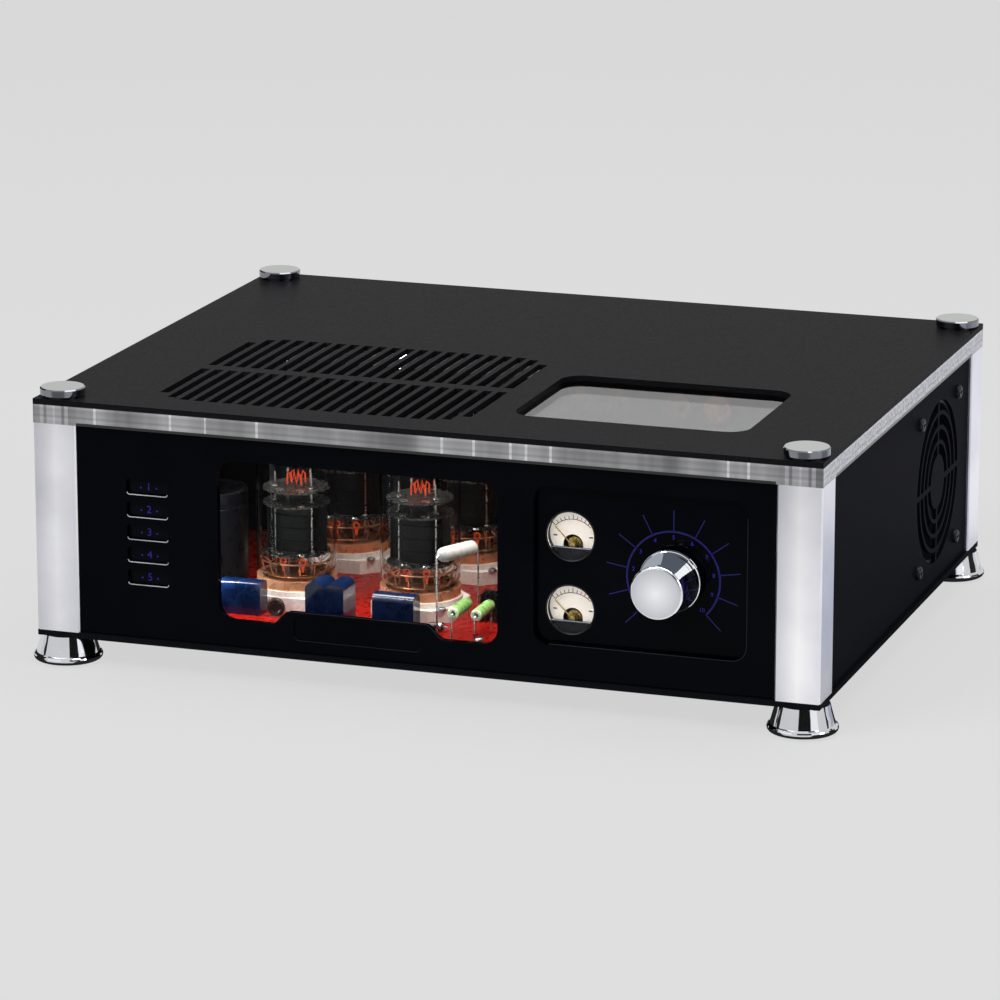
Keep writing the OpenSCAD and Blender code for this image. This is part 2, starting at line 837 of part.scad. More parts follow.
// Knob turned from bar: round-edged base, neck that narrows to a waist, front disc with an index cut
module volume_knob() {
    r = knob_d/2;
    bead_r = 1.5;
    bead_end = 60;
    lip_r = knob_base_d/2 - bead_r*(1 - cos(bead_end));
    lip_z = bead_r*(1 + sin(bead_end));
    waist_r = r - 2;
    disc_start = 0.77*knob_l;
    disc_edge = 1.2;
    waist_end = disc_start - 1.5;
    index_w = 0.8;
    index_deep = 0.5;
    steps = 8;
    profile = concat(
        [[shaft_d/2 + run, 0]],
        arc(knob_base_d/2 - bead_r, bead_r, bead_r, -90, bead_end, steps),
        [for (i = [1:steps]) [waist_r + (lip_r - waist_r)*pow(1 - i/steps, 2),
            lip_z + (waist_end - lip_z)*i/steps]],
        arc(r - disc_edge, disc_start + disc_edge, disc_edge, -90, 0, 5),
        arc(r - knob_bevel, knob_l - knob_bevel, knob_bevel, 0, 90, steps),
        [[0, knob_l], [0, knob_bore_depth], [shaft_d/2 + run, knob_bore_depth]]);
    color("#d9dce0") translate([knob_x, plate_y - knob_gap, knob_z]) rotate([90, 0, 0]) difference() {
        rotate_extrude() polygon(profile);
        rotate(90 + knob_turn/2) translate([r - index_deep, -index_w/2, disc_start + disc_edge])
            cube([index_deep + cut, index_w, knob_l - knob_bevel - disc_start - disc_edge]);
    }
}

module volume_shaft() {
    front = knob_gap + knob_bore_depth - shaft_tip_gap;
    color("#a9adb3") rearward(knob_x, plate_y, knob_z) translate([0, 0, -front])
        cylinder(d = shaft_d, h = front + plate_t + pot_depth - 2*shaft_tip_gap - fit);
}

// Potentiometer: square can behind the plate, bush through it, blind bearing bore for the shaft
module volume_pot() {
    bore_end = plate_t + pot_depth - shaft_tip_gap;
    color("#6d7076") rearward(knob_x, plate_y, knob_z) difference() {
        union() {
            translate([0, 0, plate_t]) linear_extrude(pot_depth) round_rect(pot_w, pot_w, 3);
            translate([0, 0, -bush_reach]) cylinder(d = bush_d, h = bush_reach + plate_t);
        }
        translate([0, 0, -bush_reach - cut]) cylinder(d = shaft_d + 2*run, h = bush_reach + cut + bore_end);
    }
}

module pot_nut() {
    color("#9a9da3") rearward(knob_x, plate_y, knob_z) translate([0, 0, -pot_nut_t]) linear_extrude(pot_nut_t)
        difference() {
            circle(d = pot_nut_d, $fn = 6);
            circle(d = bush_d + fit);
        }
}

// Keys

// Key with a flange that stops behind the panel and a stem that enters its switch
module key(i) {
    z = middle_z + ((key_count - 1)/2 - i)*key_pitch;
    color("#0d0e12") translate([key_x, 0, z]) {
        upright(panel_y + key_sink, front_t - key_sink + play)
            round_rect(key_w - 2*play, key_h - 2*play, key_r);
        upright(plate_y + play, key_flange_t)
            square([key_w + 2*key_flange, key_h + 2*key_flange], center = true);
        rearward(0, plate_y + play, 0) cylinder(d = stem_d, h = stem_reach - play);
    }
}

module key_board() {
    color("#2c5a3a") {
        upright(plate_y + key_board_back, board_t) translate([key_x, middle_z])
            square([key_board_w, key_board_h], center = true);
        for (side = [-1, 1]) rearward(key_x, plate_y, middle_z + side*key_post_z)
            cylinder(d = key_post_d, h = key_board_back);
    }
}

module key_switches() {
    well = key_travel + 2;
    color("#2a2b2f") difference() {
        upright(plate_y + key_board_back - switch_t, switch_t) at_keys() square(switch_w, center = true);
        upright(plate_y + key_board_back - switch_t - cut, well + cut) at_keys() circle(d = stem_d + 2*play);
    }
}

// Level meters

module at_meter(side) {
    rearward(meter_x, plate_y, meter_z + side*meter_pitch/2) children();
}

// Round case: barrel through the plate, flange behind it, well for the coil, mask over the pivot
module meter_case(side) {
    flange_r = meter_d/2 + 3;
    flange_t = 2;
    body_r = meter_d/2 + 1.5;
    well_end = meter_depth - meter_back_t;
    color("#2b2c30") at_meter(side) {
        difference() {
            rotate_extrude() polygon([[0, well_end], [meter_well_r, well_end],
                [meter_well_r, meter_dial_at + meter_dial_t], [meter_bore_r, meter_dial_at + meter_dial_t],
                [meter_bore_r, meter_inset], [meter_d/2, meter_inset], [meter_d/2, plate_t],
                [flange_r, plate_t], [flange_r, plate_t + flange_t], [body_r, plate_t + flange_t],
                [body_r, meter_depth], [0, meter_depth]]);
            translate([0, needle_pivot_z, well_end - cut])
                cylinder(r = arbor_r + run, h = meter_back_t + 2*cut);
        }
        translate([0, 0, meter_mask_at]) linear_extrude(meter_mask_t) intersection() {
            circle(meter_bore_r + meter_wall/2);
            translate([-meter_d/2, -meter_d]) square([meter_d, meter_d + meter_mask_line]);
        }
    }
}

// Dial with an arch cut in it that shows the coil
module meter_dials() {
    color("#ead9bd") for (side = [-1, 1]) at_meter(side) translate([0, 0, meter_dial_at])
        linear_extrude(meter_dial_t) difference() {
            circle(meter_bore_r - fit);
            translate([0, needle_pivot_z]) circle(arch_r);
        }
}

module meter_lenses() {
    color("#e8ecee", 0.3) for (side = [-1, 1]) at_meter(side) translate([0, 0, meter_inset])
        cylinder(r = meter_bore_r - fit/2, h = meter_lens_t);
}

// Pointer, arbor and coil turn together, and rest at the left end of the scale
module needle(side) {
    well_start = meter_dial_at + meter_dial_t;
    well_end = meter_depth - meter_back_t;
    color("#b08a4a") at_meter(side) translate([0, needle_pivot_z, 0]) rotate(needle_swing/2) {
        translate([-meter_needle_t/2, -needle_tail, meter_needle_at])
            cube([meter_needle_t, needle_l + needle_tail, meter_needle_t]);
        translate([0, 0, meter_needle_at]) cylinder(r = 3*arbor_r, h = meter_needle_t);
        translate([0, 0, meter_needle_at])
            cylinder(r = arbor_r, h = meter_depth - meter_needle_at - meter_back_t/4);
        translate([0, 0, well_start + coil_clear])
            cylinder(r = coil_r, h = well_end - well_start - 2*coil_clear);
    }
}

// Circuit board and tubes

module circuit_board() {
    color("#c8281c") translate([board_x, board_y, board_z]) linear_extrude(board_t)
        square([board_w, board_l], center = true);
}

module board_pillars() {
    color("#c0b070") for (c = corners)
        translate([board_x + c[0]*(board_w/2 - pillar_inset), board_y + c[1]*(board_l/2 - pillar_inset),
            deck_z]) cylinder(d = pillar_d, h = pillar_h);
}

module at_tubes() {
    for (p = tube_places) translate(p) children();
}

// Ceramic block with cut corners and a round collar for the tube's ring
module tube_sockets() {
    corner_cut = 9;
    h = socket_w/2;
    side = h - corner_cut;
    color("#f0e8e2") at_tubes() {
        translate([0, 0, board_top]) linear_extrude(socket_h) polygon([[-side, -h], [side, -h], [h, -side],
            [h, side], [side, h], [-side, h], [-h, side], [-h, -side]]);
        translate([0, 0, collar_z]) cylinder(d = ring_d + 2, h = collar_h);
    }
}

// Metal base ring: a cup that the glass stands in
module tube_rings() {
    color("#c98d66") at_tubes() translate([0, 0, ring_z]) rotate_extrude() polygon([[0, 0], [ring_d/2, 0],
        [ring_d/2, ring_h], [ring_bore_r, ring_h], [ring_bore_r, glass_seat], [0, glass_seat]]);
}

// Outline of the glass, grown inwards by a wall: neck in the ring, S-shaped shoulder, straight side, dome
function glass_outline(wall, steps = 10) = concat(
    [[0, wall], [neck_r - wall, wall], [neck_r - wall, ring_h - glass_seat]],
    [for (i = [1:steps]) [neck_r - wall + (glass_d/2 - neck_r)*(1 - cos(180*i/steps))/2,
        ring_h - glass_seat + shoulder_h*i/steps]],
    [for (i = [0:steps]) [(glass_d/2 - wall)*cos(90*i/steps),
        glass_h - dome_h + (dome_h - wall)*sin(90*i/steps)]]);

module tube_glasses() {
    color("#dfe6ea", 0.35) at_tubes() translate([0, 0, glass_z]) difference() {
        rotate_extrude() polygon(glass_outline(0));
        rotate_extrude() polygon(glass_outline(glass_t));
    }
}

// Section of a tube's plate: flat sides and round ends
module plate_section(w, d) {
    square([w - d, d], center = true);
    for (side = [-1, 1]) translate([side*(w - d)/2, 0]) circle(d = d);
}

// Electrodes: rods from the glass foot, three insulating discs, a ribbed plate with fins, a getter cup
module tube_cages() {
    disc_r = glass_d/2 - glass_t - 2.5;
    disc_t = 0.8;
    plate_w = 24;
    plate_d = 15;
    plate_foot = 15;
    plate_h = 26;
    ribs = 3;
    rib_h = 1.2;
    rib_out = 0.6;
    band_h = 8;
    rod_r = 0.8;
    rod_top = plate_foot + plate_h + band_h + 10;
    rod_pitch = 13;
    fin_w = 34;
    fin_t = 0.8;
    getter_r = 6;
    getter_h = 2.5;
    color("#4a4b50") at_tubes() translate([0, 0, glass_z + glass_t]) {
        for (side = [-1, 1]) translate([side*rod_pitch/2, 0, 0]) cylinder(r = rod_r, h = rod_top);
        for (z = [plate_foot - disc_t, plate_foot + plate_h, plate_foot + plate_h + band_h])
            translate([0, 0, z]) cylinder(r = disc_r, h = disc_t);
        translate([0, 0, plate_foot]) linear_extrude(plate_h) {
            plate_section(plate_w, plate_d);
            square([fin_w, fin_t], center = true);
        }
        for (i = [1:ribs]) translate([0, 0, plate_foot + i*plate_h/(ribs + 1) - rib_h/2])
            linear_extrude(rib_h) plate_section(plate_w + 2*rib_out, plate_d + 2*rib_out);
        translate([0, 0, plate_foot + plate_h]) cylinder(d = plate_d, h = band_h);
        translate([0, 0, rod_top - getter_h]) cylinder(r = rod_pitch/2 + getter_r/2, h = getter_h);
    }
}

// Film capacitor standing on the board along its own X axis, with rounded top edges
module film_capacitor(l, h) {
    translate([0, 0, board_top]) rotate([90, 0, 90]) translate([0, 0, -l/2]) linear_extrude(l) {
        translate([0, h/2]) round_rect(film_w, h, film_r);
        translate([0, film_r]) square([film_w, 2*film_r], center = true);
    }
}

module film_capacitors() {
    color("#123a78") {
        for (x = film_right) translate([tube_x + x, front_y + film_back, 0]) film_capacitor(film_l, film_h);
        for (side = [-1, 1])
            translate([tube_x + pair_right + side*(film_w + pair_gap)/2, front_y + pair_back, 0])
                rotate(90) film_capacitor(pair_l, pair_h);
    }
}

// Rod-shaped body held over the board by a lead at each end, along its own X axis
module leaded_body(d, l, lift) {
    lead_out = 2.5;
    reach = l/2 + lead_out;
    translate([-l/2, 0, board_top + lift]) rotate([0, 90, 0]) cylinder(d = d, h = l);
    translate([-reach, 0, board_top + lift]) rotate([0, 90, 0]) cylinder(d = lead_d, h = 2*reach);
    for (side = [-1, 1]) translate([side*reach, 0, board_top]) cylinder(d = lead_d, h = lift + lead_d/2);
}

module power_resistors() {
    color("#7fbf63") for (x = resistor_right) translate([tube_x + x, front_y + resistor_back, 0])
        rotate(90) leaded_body(resistor_d, resistor_l, resistor_lift);
}

// White pill-shaped resistor with round ends, turned across the board
module ceramic_resistor() {
    straight = pill_l - pill_d;
    color("#f4f2ee") translate([tube_x + pill_right, front_y + pill_back, 0]) rotate(pill_turn) {
        leaded_body(pill_d, straight, pill_lift);
        for (side = [-1, 1]) translate([side*straight/2, 0, board_top + pill_lift]) sphere(d = pill_d);
    }
}

// Power parts

module mains_transformer() {
    ring_w = (core_d - core_hole_d)/2;
    color("#6a3a22") translate([core_x, core_y, deck_z]) rotate_extrude()
        translate([(core_d + core_hole_d)/4, core_h/2]) round_rect(ring_w, core_h, core_r);
}

// Dished washer on the ring core, held by one bolt from the base plate
module transformer_clamp() {
    bolt_head_d = 14;
    bolt_head_t = 5;
    color("#b9bcc1") translate([core_x, core_y, deck_z]) {
        cylinder(d = bolt_d, h = core_h + dish_t);
        translate([0, 0, core_h]) cylinder(d = dish_d, h = dish_t);
        translate([0, 0, core_h + dish_t]) cylinder(d = bolt_head_d, h = bolt_head_t, $fn = 6);
    }
}

// Core of three legs with a wound coil round the middle one
module output_transformer() {
    leg = ot_w/6;
    window_gap = 0.5;
    coil_out = 10;
    coil_h = ot_h - 2*leg - 2*window_gap;
    coil_w = ot_w - 2*leg - 2*window_gap;
    upright(-ot_t/2, ot_t) translate([0, ot_h/2]) difference() {
        square([ot_w, ot_h], center = true);
        for (side = [-1, 1]) translate([side*leg*1.5, 0]) square([leg, ot_h - 2*leg], center = true);
    }
    difference() {
        translate([0, 0, ot_h/2 - coil_h/2]) linear_extrude(coil_h)
            round_rect(coil_w, ot_t + 2*coil_out, leg/2);
        translate([0, 0, ot_h/2 - coil_h/2 - cut]) linear_extrude(coil_h + 2*cut)
            square([2*leg + 2*fit, ot_t + 2*fit], center = true);
    }
}

module output_transformers() {
    color("#2b2c30") for (side = [-1, 1])
        translate([ot_x + side*ot_pitch/2, ot_y, deck_z]) output_transformer();
}

// Four cans, each in a ring clamp on the base plate
module smoothing_capacitors() {
    edge = 2;
    r = can_d/2;
    color("#1f2a4a") for (c = corners)
        translate([can_x + c[0]*can_pitch/2, can_y + c[1]*can_pitch/2, deck_z]) {
            rotate_extrude() polygon([[0, 0], [r, 0], [r, can_h - edge], [r - edge, can_h], [0, can_h]]);
            difference() {
                cylinder(r = r + fit + clamp_t, h = clamp_h);
                translate([0, 0, -cut]) cylinder(r = r + fit, h = clamp_h + 2*cut);
            }
        }
}

// Rear fittings: their own Z axis points out of the rear panel

module input_sockets() {
    color("#c9b37a") for (i = [0:input_count - 1], row = [0, 1])
        rearward(input_x + i*input_pitch, rear_face_y, input_z + row*input_pitch) difference() {
            union() {
                cylinder(d = input_flange_d, h = input_flange_t);
                cylinder(d = input_barrel_d, h = input_reach);
                translate([0, 0, -sheet_t - input_tail])
                    cylinder(d = input_tail_d, h = input_tail + sheet_t + cut);
                translate([0, 0, -sheet_t - nut_t]) cylinder(d = input_flange_d, h = nut_t, $fn = 6);
            }
            translate([0, 0, input_flange_t]) cylinder(d = input_hole_d, h = input_reach);
        }
}

// Insulating flanges either side of the panel on a stud with a plug bore
module speaker_posts() {
    color("#c9b37a") for (x = post_places) rearward(x, rear_face_y, post_z) difference() {
        union() {
            cylinder(d = post_cap_d, h = post_flange_t);
            translate([0, 0, -sheet_t - input_tail]) cylinder(d = stud_d, h = input_tail + sheet_t + post_l);
            translate([0, 0, -sheet_t - nut_t]) cylinder(d = post_cap_d, h = nut_t);
        }
        translate([0, 0, post_l - plug_depth]) cylinder(d = plug_d + 2*run, h = plug_depth + cut);
    }
}

// Fluted cap that screws along its stud
module post_cap(i) {
    flutes = 12;
    flute_r = 1.2;
    end_gap = 0.6;
    h = post_l - post_flange_t - 2*end_gap;
    color(i % 2 == 0 ? "#b01818" : "#18181a") rearward(post_places[i], rear_face_y, post_z)
        translate([0, 0, post_flange_t + end_gap]) difference() {
            cylinder(d = post_cap_d, h = h);
            translate([0, 0, -cut]) cylinder(d = stud_d + 2*run, h = h + 2*cut);
            for (a = [0:flutes - 1]) rotate(a*360/flutes) translate([post_cap_d/2 + flute_r/2, 0, -cut])
                cylinder(r = flute_r, h = h + 2*cut);
        }
}

// Mouth of the inlet: a rectangle with its two upper corners cut off
module inlet_mouth_outline() {
    w = inlet_mouth[0]/2;
    h = inlet_mouth[1]/2;
    polygon([[-w, -h], [w, -h], [w, h - inlet_cut], [w - inlet_cut, h], [-w + inlet_cut, h],
        [-w, h - inlet_cut]]);
}

module mains_inlet() {
    floor_z = inlet_floor - inlet_shell[2];
    pin_l = inlet_flange[2] - floor_z - pin_short + cut;
    color("#141416") rearward(mains_x, rear_face_y, inlet_z) {
        difference() {
            union() {
                linear_extrude(inlet_flange[2]) round_rect(inlet_flange[0], inlet_flange[1], 5);
                translate([0, 0, -inlet_shell[2]]) linear_extrude(inlet_shell[2] + cut)
                    square([inlet_shell[0], inlet_shell[1]], center = true);
            }
            translate([0, 0, floor_z]) linear_extrude(inlet_shell[2] + inlet_flange[2]) inlet_mouth_outline();
        }
        for (p = pin_places) translate([p[0], p[1], floor_z - cut]) linear_extrude(pin_l)
            square(pin_size, center = true);
    }
}

// Rim on the panel, body behind it, round cavity and bearing holes for the rocker
module switch_frame() {
    cavity_r = rocker_r + play;
    cavity_w = rocker_w + 2*play;
    color("#141416") difference() {
        rearward(mains_x, rear_face_y, rocker_z) {
            linear_extrude(switch_rim) round_rect(switch_flange[0], switch_flange[1], 1.5);
            translate([0, 0, -switch_body[2]]) linear_extrude(switch_body[2] + cut)
                square([switch_body[0], switch_body[1]], center = true);
        }
        translate([mains_x, rear_face_y + rocker_pivot, rocker_z]) rotate([0, 90, 0]) {
            cylinder(r = cavity_r, h = cavity_w, center = true);
            cylinder(r = rocker_axle_r + run, h = rocker_w + 2*rocker_axle_l + 2*play, center = true);
        }
    }
}

// Rocker with two slanting faces on an axle, resting in its off position
module switch_rocker() {
    crown = 1.2;
    ends = 2.6;
    far = 2*rocker_r;
    color("#1d1d20") translate([mains_x, rear_face_y + rocker_pivot, rocker_z])
        rotate([-rocker_tip/2, 0, 0]) {
        intersection() {
            rotate([0, 90, 0]) cylinder(r = rocker_r, h = rocker_w, center = true);
            translate([-rocker_w, 0, 0]) rotate([90, 0, 90]) linear_extrude(2*rocker_w)
                polygon([[-far, -far], [ends + crown, -far], [crown, 0], [ends + crown, far], [-far, far]]);
        }
        rotate([0, 90, 0]) cylinder(r = rocker_axle_r, h = rocker_w + 2*rocker_axle_l, center = true);
    }
}

// Everything keeps its place from the middle of the body
module placed() {
    translate([0, body_y, 0]) children();
}

placed() base_plate();
placed() column(corners[0]);  // column_front_left
placed() column(corners[1]);  // column_front_right
placed() column(corners[2]);  // column_rear_left
placed() column(corners[3]);  // column_rear_right
placed() feet();
placed() foot_pads();
placed() tie_rods();
placed() cap_nuts();
placed() clear_sheet();
placed() lid_sheet();
placed() front_panel();
placed() window_pane();
placed() name_plaque();
placed() control_plate();
placed() left_panel();
placed() right_panel();
placed() rear_panel();
placed() fan_frame();
placed() fan_rotor();
placed() fan_screws();
placed() volume_knob();
placed() volume_shaft();
placed() volume_pot();
placed() pot_nut();
placed() key(0);  // key_1
placed() key(1);  // key_2
placed() key(2);  // key_3
placed() key(3);  // key_4
placed() key(4);  // key_5
placed() key_board();
placed() key_switches();
placed() meter_case(1);  // meter_case_upper
placed() meter_case(-1);  // meter_case_lower
placed() meter_dials();
placed() meter_lenses();
placed() needle(1);  // needle_upper
placed() needle(-1);  // needle_lower
placed() circuit_board();
placed() board_pillars();
placed() tube_sockets();
placed() tube_rings();
placed() tube_glasses();
placed() tube_cages();
placed() film_capacitors();
placed() power_resistors();
placed() ceramic_resistor();
placed() mains_transformer();
placed() transformer_clamp();
placed() output_transformers();
placed() smoothing_capacitors();
placed() input_sockets();
placed() speaker_posts();
placed() post_cap(0);  // post_cap_1
placed() post_cap(1);  // post_cap_2
placed() post_cap(2);  // post_cap_3
placed() post_cap(3);  // post_cap_4
placed() mains_inlet();
placed() switch_frame();
placed() switch_rocker();
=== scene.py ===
# %% [markdown]
# The frame comes first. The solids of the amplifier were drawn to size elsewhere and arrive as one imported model. Each
# already stands at its place, in metres, with the front towards -Y, so nothing is measured twice. This lesson dresses
# the solids and adds the small things that a solid model leaves out.

import math

import bmesh
import bpy
from mathutils import Matrix, Vector


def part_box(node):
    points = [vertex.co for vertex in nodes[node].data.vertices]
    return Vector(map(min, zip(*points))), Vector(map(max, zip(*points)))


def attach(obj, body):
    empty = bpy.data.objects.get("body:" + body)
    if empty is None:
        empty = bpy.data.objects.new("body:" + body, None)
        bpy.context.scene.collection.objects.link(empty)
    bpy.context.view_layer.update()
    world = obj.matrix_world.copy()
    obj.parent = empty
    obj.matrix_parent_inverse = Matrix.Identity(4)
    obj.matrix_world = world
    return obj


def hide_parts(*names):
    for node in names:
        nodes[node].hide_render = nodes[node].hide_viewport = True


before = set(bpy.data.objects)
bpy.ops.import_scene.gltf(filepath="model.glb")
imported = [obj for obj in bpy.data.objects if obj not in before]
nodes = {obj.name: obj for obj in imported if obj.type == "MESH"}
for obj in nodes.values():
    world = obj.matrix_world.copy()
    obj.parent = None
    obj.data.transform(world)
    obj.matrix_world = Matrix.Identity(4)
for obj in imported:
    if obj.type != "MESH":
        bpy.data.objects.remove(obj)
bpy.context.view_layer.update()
MM = 0.001

# %% [markdown]
# The camera stands where the photographer stood: in front, a little to the right and above the lid. Its place, turn
# and tilt were worked out from corners of lid, columns and base. A long lens keeps the columns nearly parallel, which
# a short lens close by would not.

# %% Camera
CAMERA_AT = (841.05, -2496.97, 751.39)
CAMERA_TURN, CAMERA_TILT = 18.889, 14.585
FOCAL_PIXELS, PICTURE_PIXELS, FAR_END = 4979.4, 1000, 50


def placed(name, data):
    """A new object of the scene."""
    made = bpy.data.objects.new(name, data)
    bpy.context.scene.collection.objects.link(made)
    return made


lens = bpy.data.cameras.new("camera")
lens.lens = FOCAL_PIXELS / PICTURE_PIXELS * lens.sensor_width
lens.clip_end = FAR_END
camera = placed("camera", lens)
camera.location = Vector(CAMERA_AT) * MM
camera.rotation_euler = (math.radians(90 - CAMERA_TILT), 0, math.radians(CAMERA_TURN))
bpy.context.scene.camera = camera
bpy.context.scene.view_settings.view_transform = "Standard"
print("lens", round(lens.lens, 1), "mm")

# %% [markdown]
# Every finish is one Principled shader, mostly with a pattern over it. `linear` turns a colour as written for a screen
# into the linear values that a renderer counts in. `add` puts one node into a tree with its settings and links.
# `finish` starts a material, with each number that is the same all over on the shader's own socket, and gives it to
# the solids that wear it. `feed` links a pattern to a socket of that shader. `blank` empties a tree that is to hold
# other shaders.

# %% Helpers for materials
def linear(code):
    """sRGB hex, such as "d8dade", to linear red, green, blue and alpha."""
    parts = [int(code[i:i + 2], 16) / 255 for i in (0, 2, 4)]
    return [c / 12.92 if c <= 0.04045 else ((c + 0.055) / 1.055) ** 2.4 for c in parts] + [1.0]


def add(tree, kind, links=None, stops=(), **settings):
    """Adds a node. Settings are its own properties; links go to its sockets, from a socket or as a value.
    Stops are the places and colours of a ramp."""
    made = tree.nodes.new("ShaderNode" + kind)
    for name, value in settings.items():
        setattr(made, name, value)
    for i, (at, code) in enumerate(stops):
        ramp = made.color_ramp.elements
        stop = ramp[i] if i < len(ramp) else ramp.new(at)
        stop.position, stop.color = at, linear(code)
    for name, value in (links or {}).items():
        if isinstance(value, bpy.types.NodeSocket):
            tree.links.new(value, made.inputs[name])
        else:
            made.inputs[name].default_value = value
    return made


def finish(name, colour, roughness, metallic=0.0, on="", shine=0.5, glow=("ffffff", 0), **sockets):
    """A material with one Principled shader, worn by the solids that are named in one string."""
    material = bpy.data.materials.new(name)
    material.use_nodes = True
    shader = material.node_tree.nodes["Principled BSDF"]
    plain = {"Base Color": linear(colour), "Roughness": roughness, "Metallic": metallic, "Specular IOR Level": shine,
             "Emission Color": linear(glow[0]), "Emission Strength": glow[1]}
    for socket, value in {**plain, **sockets}.items():
        shader.inputs[socket.replace("_", " ")].default_value = value
    for solid in on.split():
        nodes[solid].data.materials.clear()
        nodes[solid].data.materials.append(material)
    return material


def feed(tree, socket, output):
    """Links an output to a socket of the tree's Principled shader."""
    tree.links.new(output, tree.nodes["Principled BSDF"].inputs[socket])


def zoned(tree, value, ends, colours, roughs):
    """Colour and roughness that change where a value passes from zone to zone."""
    for socket, codes in (("Base Color", colours), ("Roughness", roughs)):
        ramp = add(tree, "ValToRGB", {"Fac": value}, zip(ends, codes))
        feed(tree, socket, ramp.outputs["Color"])


def blank(owner):
    """The node tree of a material or world, emptied."""
    owner.use_nodes = True
    owner.node_tree.nodes.clear()
    return owner.node_tree


# The sockets of a Mix node that mixes colours go by number
SHARE, UNDER, OVER, MIXED = 0, 6, 7, 2

# %% [markdown]
# Real surfaces are never quite even. `grain` adds a noise at the size that the real texture has in millimetres: it
# moves the roughness between two values, the colour between two, and raises a low relief. Object coordinates are in
# metres, so a grain of so many millimetres needs a scale of 1000 over that number.

# %% Helper for surface grain
NOISE_DETAIL, NOISE_ENDS, TONE_ENDS = 3.0, (0.3, 0.7), (0.35, 0.65)


def grain(name, size_mm, rough, colours, relief_mm=0.0, metallic=0.0, on="", stretch=(1, 1, 1), **sockets):
    """A finish with noise of that size in roughness, colour and relief. A single colour stays even."""
    material = finish(name, colours[0], rough[0], metallic, on, **sockets)
    tree = material.node_tree
    place = add(tree, "TexCoord").outputs["Object"]
    laid = add(tree, "Mapping", {"Vector": place, "Scale": stretch}).outputs["Vector"]
    noise = add(tree, "TexNoise", {"Vector": laid, "Scale": 1 / (size_mm * MM), "Detail": NOISE_DETAIL}).outputs["Fac"]
    ends = dict(zip(("From Min", "From Max", "To Min", "To Max"), (*NOISE_ENDS, *rough)))
    spread = add(tree, "MapRange", {"Value": noise, **ends})
    feed(tree, "Roughness", spread.outputs["Result"])
    if len(colours) > 1:
        ramp = add(tree, "ValToRGB", {"Fac": noise}, zip(TONE_ENDS, colours))
        feed(tree, "Base Color", ramp.outputs["Color"])
    if relief_mm:
        bump = add(tree, "Bump", {"Height": noise, "Distance": relief_mm * MM, "Strength": 1.0})
        feed(tree, "Normal", bump.outputs["Normal"])
    return material


# %% [markdown]
# The four columns are extruded aluminium, blasted with fine glass beads and bright anodised. The beads are too fine to
# see: they only spread each reflection into a soft glow, so the roughness is in the middle. What shows are slow
# changes of tone, several centimetres long. Across each column the colour is painted darker at the left edge and
# brighter in the middle and at the right edge: painted shade and painted highlights of the soft light.

# %% Anodised aluminium
TONE_WAVE = 45.0
aluminium = grain("aluminium_bead_blasted_anodised", TONE_WAVE, (0.3, 0.38), ("ececf0", "fdfdff"), 0, 1,
                  "column_front_left column_front_right column_rear_left column_rear_right")
tree = aluminium.node_tree
across = add(tree, "SeparateXYZ", {"Vector": add(tree, "TexCoord").outputs["Generated"]})
# Painted shade and highlight across the column: darker at the left edge, brightest in the middle and at the right edge
painted_highlight_across = add(tree, "ValToRGB", {"Fac": across.outputs["X"]},
             ((0.0, "d8d8dc"), (0.2, "e6e6ea"), (0.5, "ffffff"), (0.95, "ececf0"), (1.0, "ffffff")))
tones = tree.nodes["Principled BSDF"].inputs["Base Color"].links[0].from_socket
both = add(tree, "Mix", {SHARE: 1.0, UNDER: tones, OVER: painted_highlight_across.outputs["Color"]},
           data_type="RGBA", blend_type="MULTIPLY")
feed(tree, "Base Color", both.outputs[MIXED])
print("columns:", aluminium.name)

# %% [markdown]
# Feet, cap nuts and volume knob are turned from brass and chrome plated, a mirror with a trace of blue. The feet are
# polished all over. The flat tops of the nuts were left satin before plating, so there the reflection spreads out: the
# surface normal tells top from side, and the sides are painted a darker grey than the tops, as painted shade. The knob
# has a satin face and is polished elsewhere: the distance from the face's middle tells the two apart, and the face is
# painted from near white in the middle to grey at its rim, as a painted highlight. Rods, clamp and the knob's shaft
# are zinc-plated steel.

# %% Chrome plating
TURNING_MARK, PLATED = 18.0, 1.5
chrome = grain("chrome_plate_polished", TURNING_MARK, (0.03, 0.07), ("dfe1e6", "e8eaee"), 0, 1, "feet")

SLOPE_END, TOP_START = 0.9, 0.99
tree = finish("chrome_plate_satin_top_painted_shade", "c6c9c6", 0.35, 1, "cap_nuts").node_tree
looks = add(tree, "SeparateXYZ", {"Vector": add(tree, "NewGeometry").outputs["True Normal"]})
# Painted shade: the sloping sides are coloured darker grey than the flat tops
zoned(tree, looks.outputs["Z"], (SLOPE_END, TOP_START), ("85878d", "c6c9c6"), ("505050", "a0a0a0"))

FACE_END, FACE_EDGE, KNOB_REACH = 12.8, 0.4, 30.0
tree = finish("chrome_plate_satin_and_polished_painted_highlight", "f0f2f7", 0.07, 1, "volume_knob").node_tree
knob_low, knob_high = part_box("volume_knob")
face_mid = Vector(((knob_low.x + knob_high.x) / 2, knob_low.y, (knob_low.z + knob_high.z) / 2))
place = add(tree, "TexCoord").outputs["Object"]
far = add(tree, "VectorMath", {0: place, 1: face_mid}, operation="DISTANCE")
far = add(tree, "MapRange", {"Value": far.outputs["Value"], "From Max": KNOB_REACH * MM})
# Painted highlight: the face runs from near white in the middle to grey at its rim
zoned(tree, far.outputs["Result"], [end / KNOB_REACH for end in (0, FACE_END, FACE_END + FACE_EDGE)],
      ("fcfcfe", "c9ccd2", "f0f2f7"), ("ababab", "ababab", "4a4a4a"))

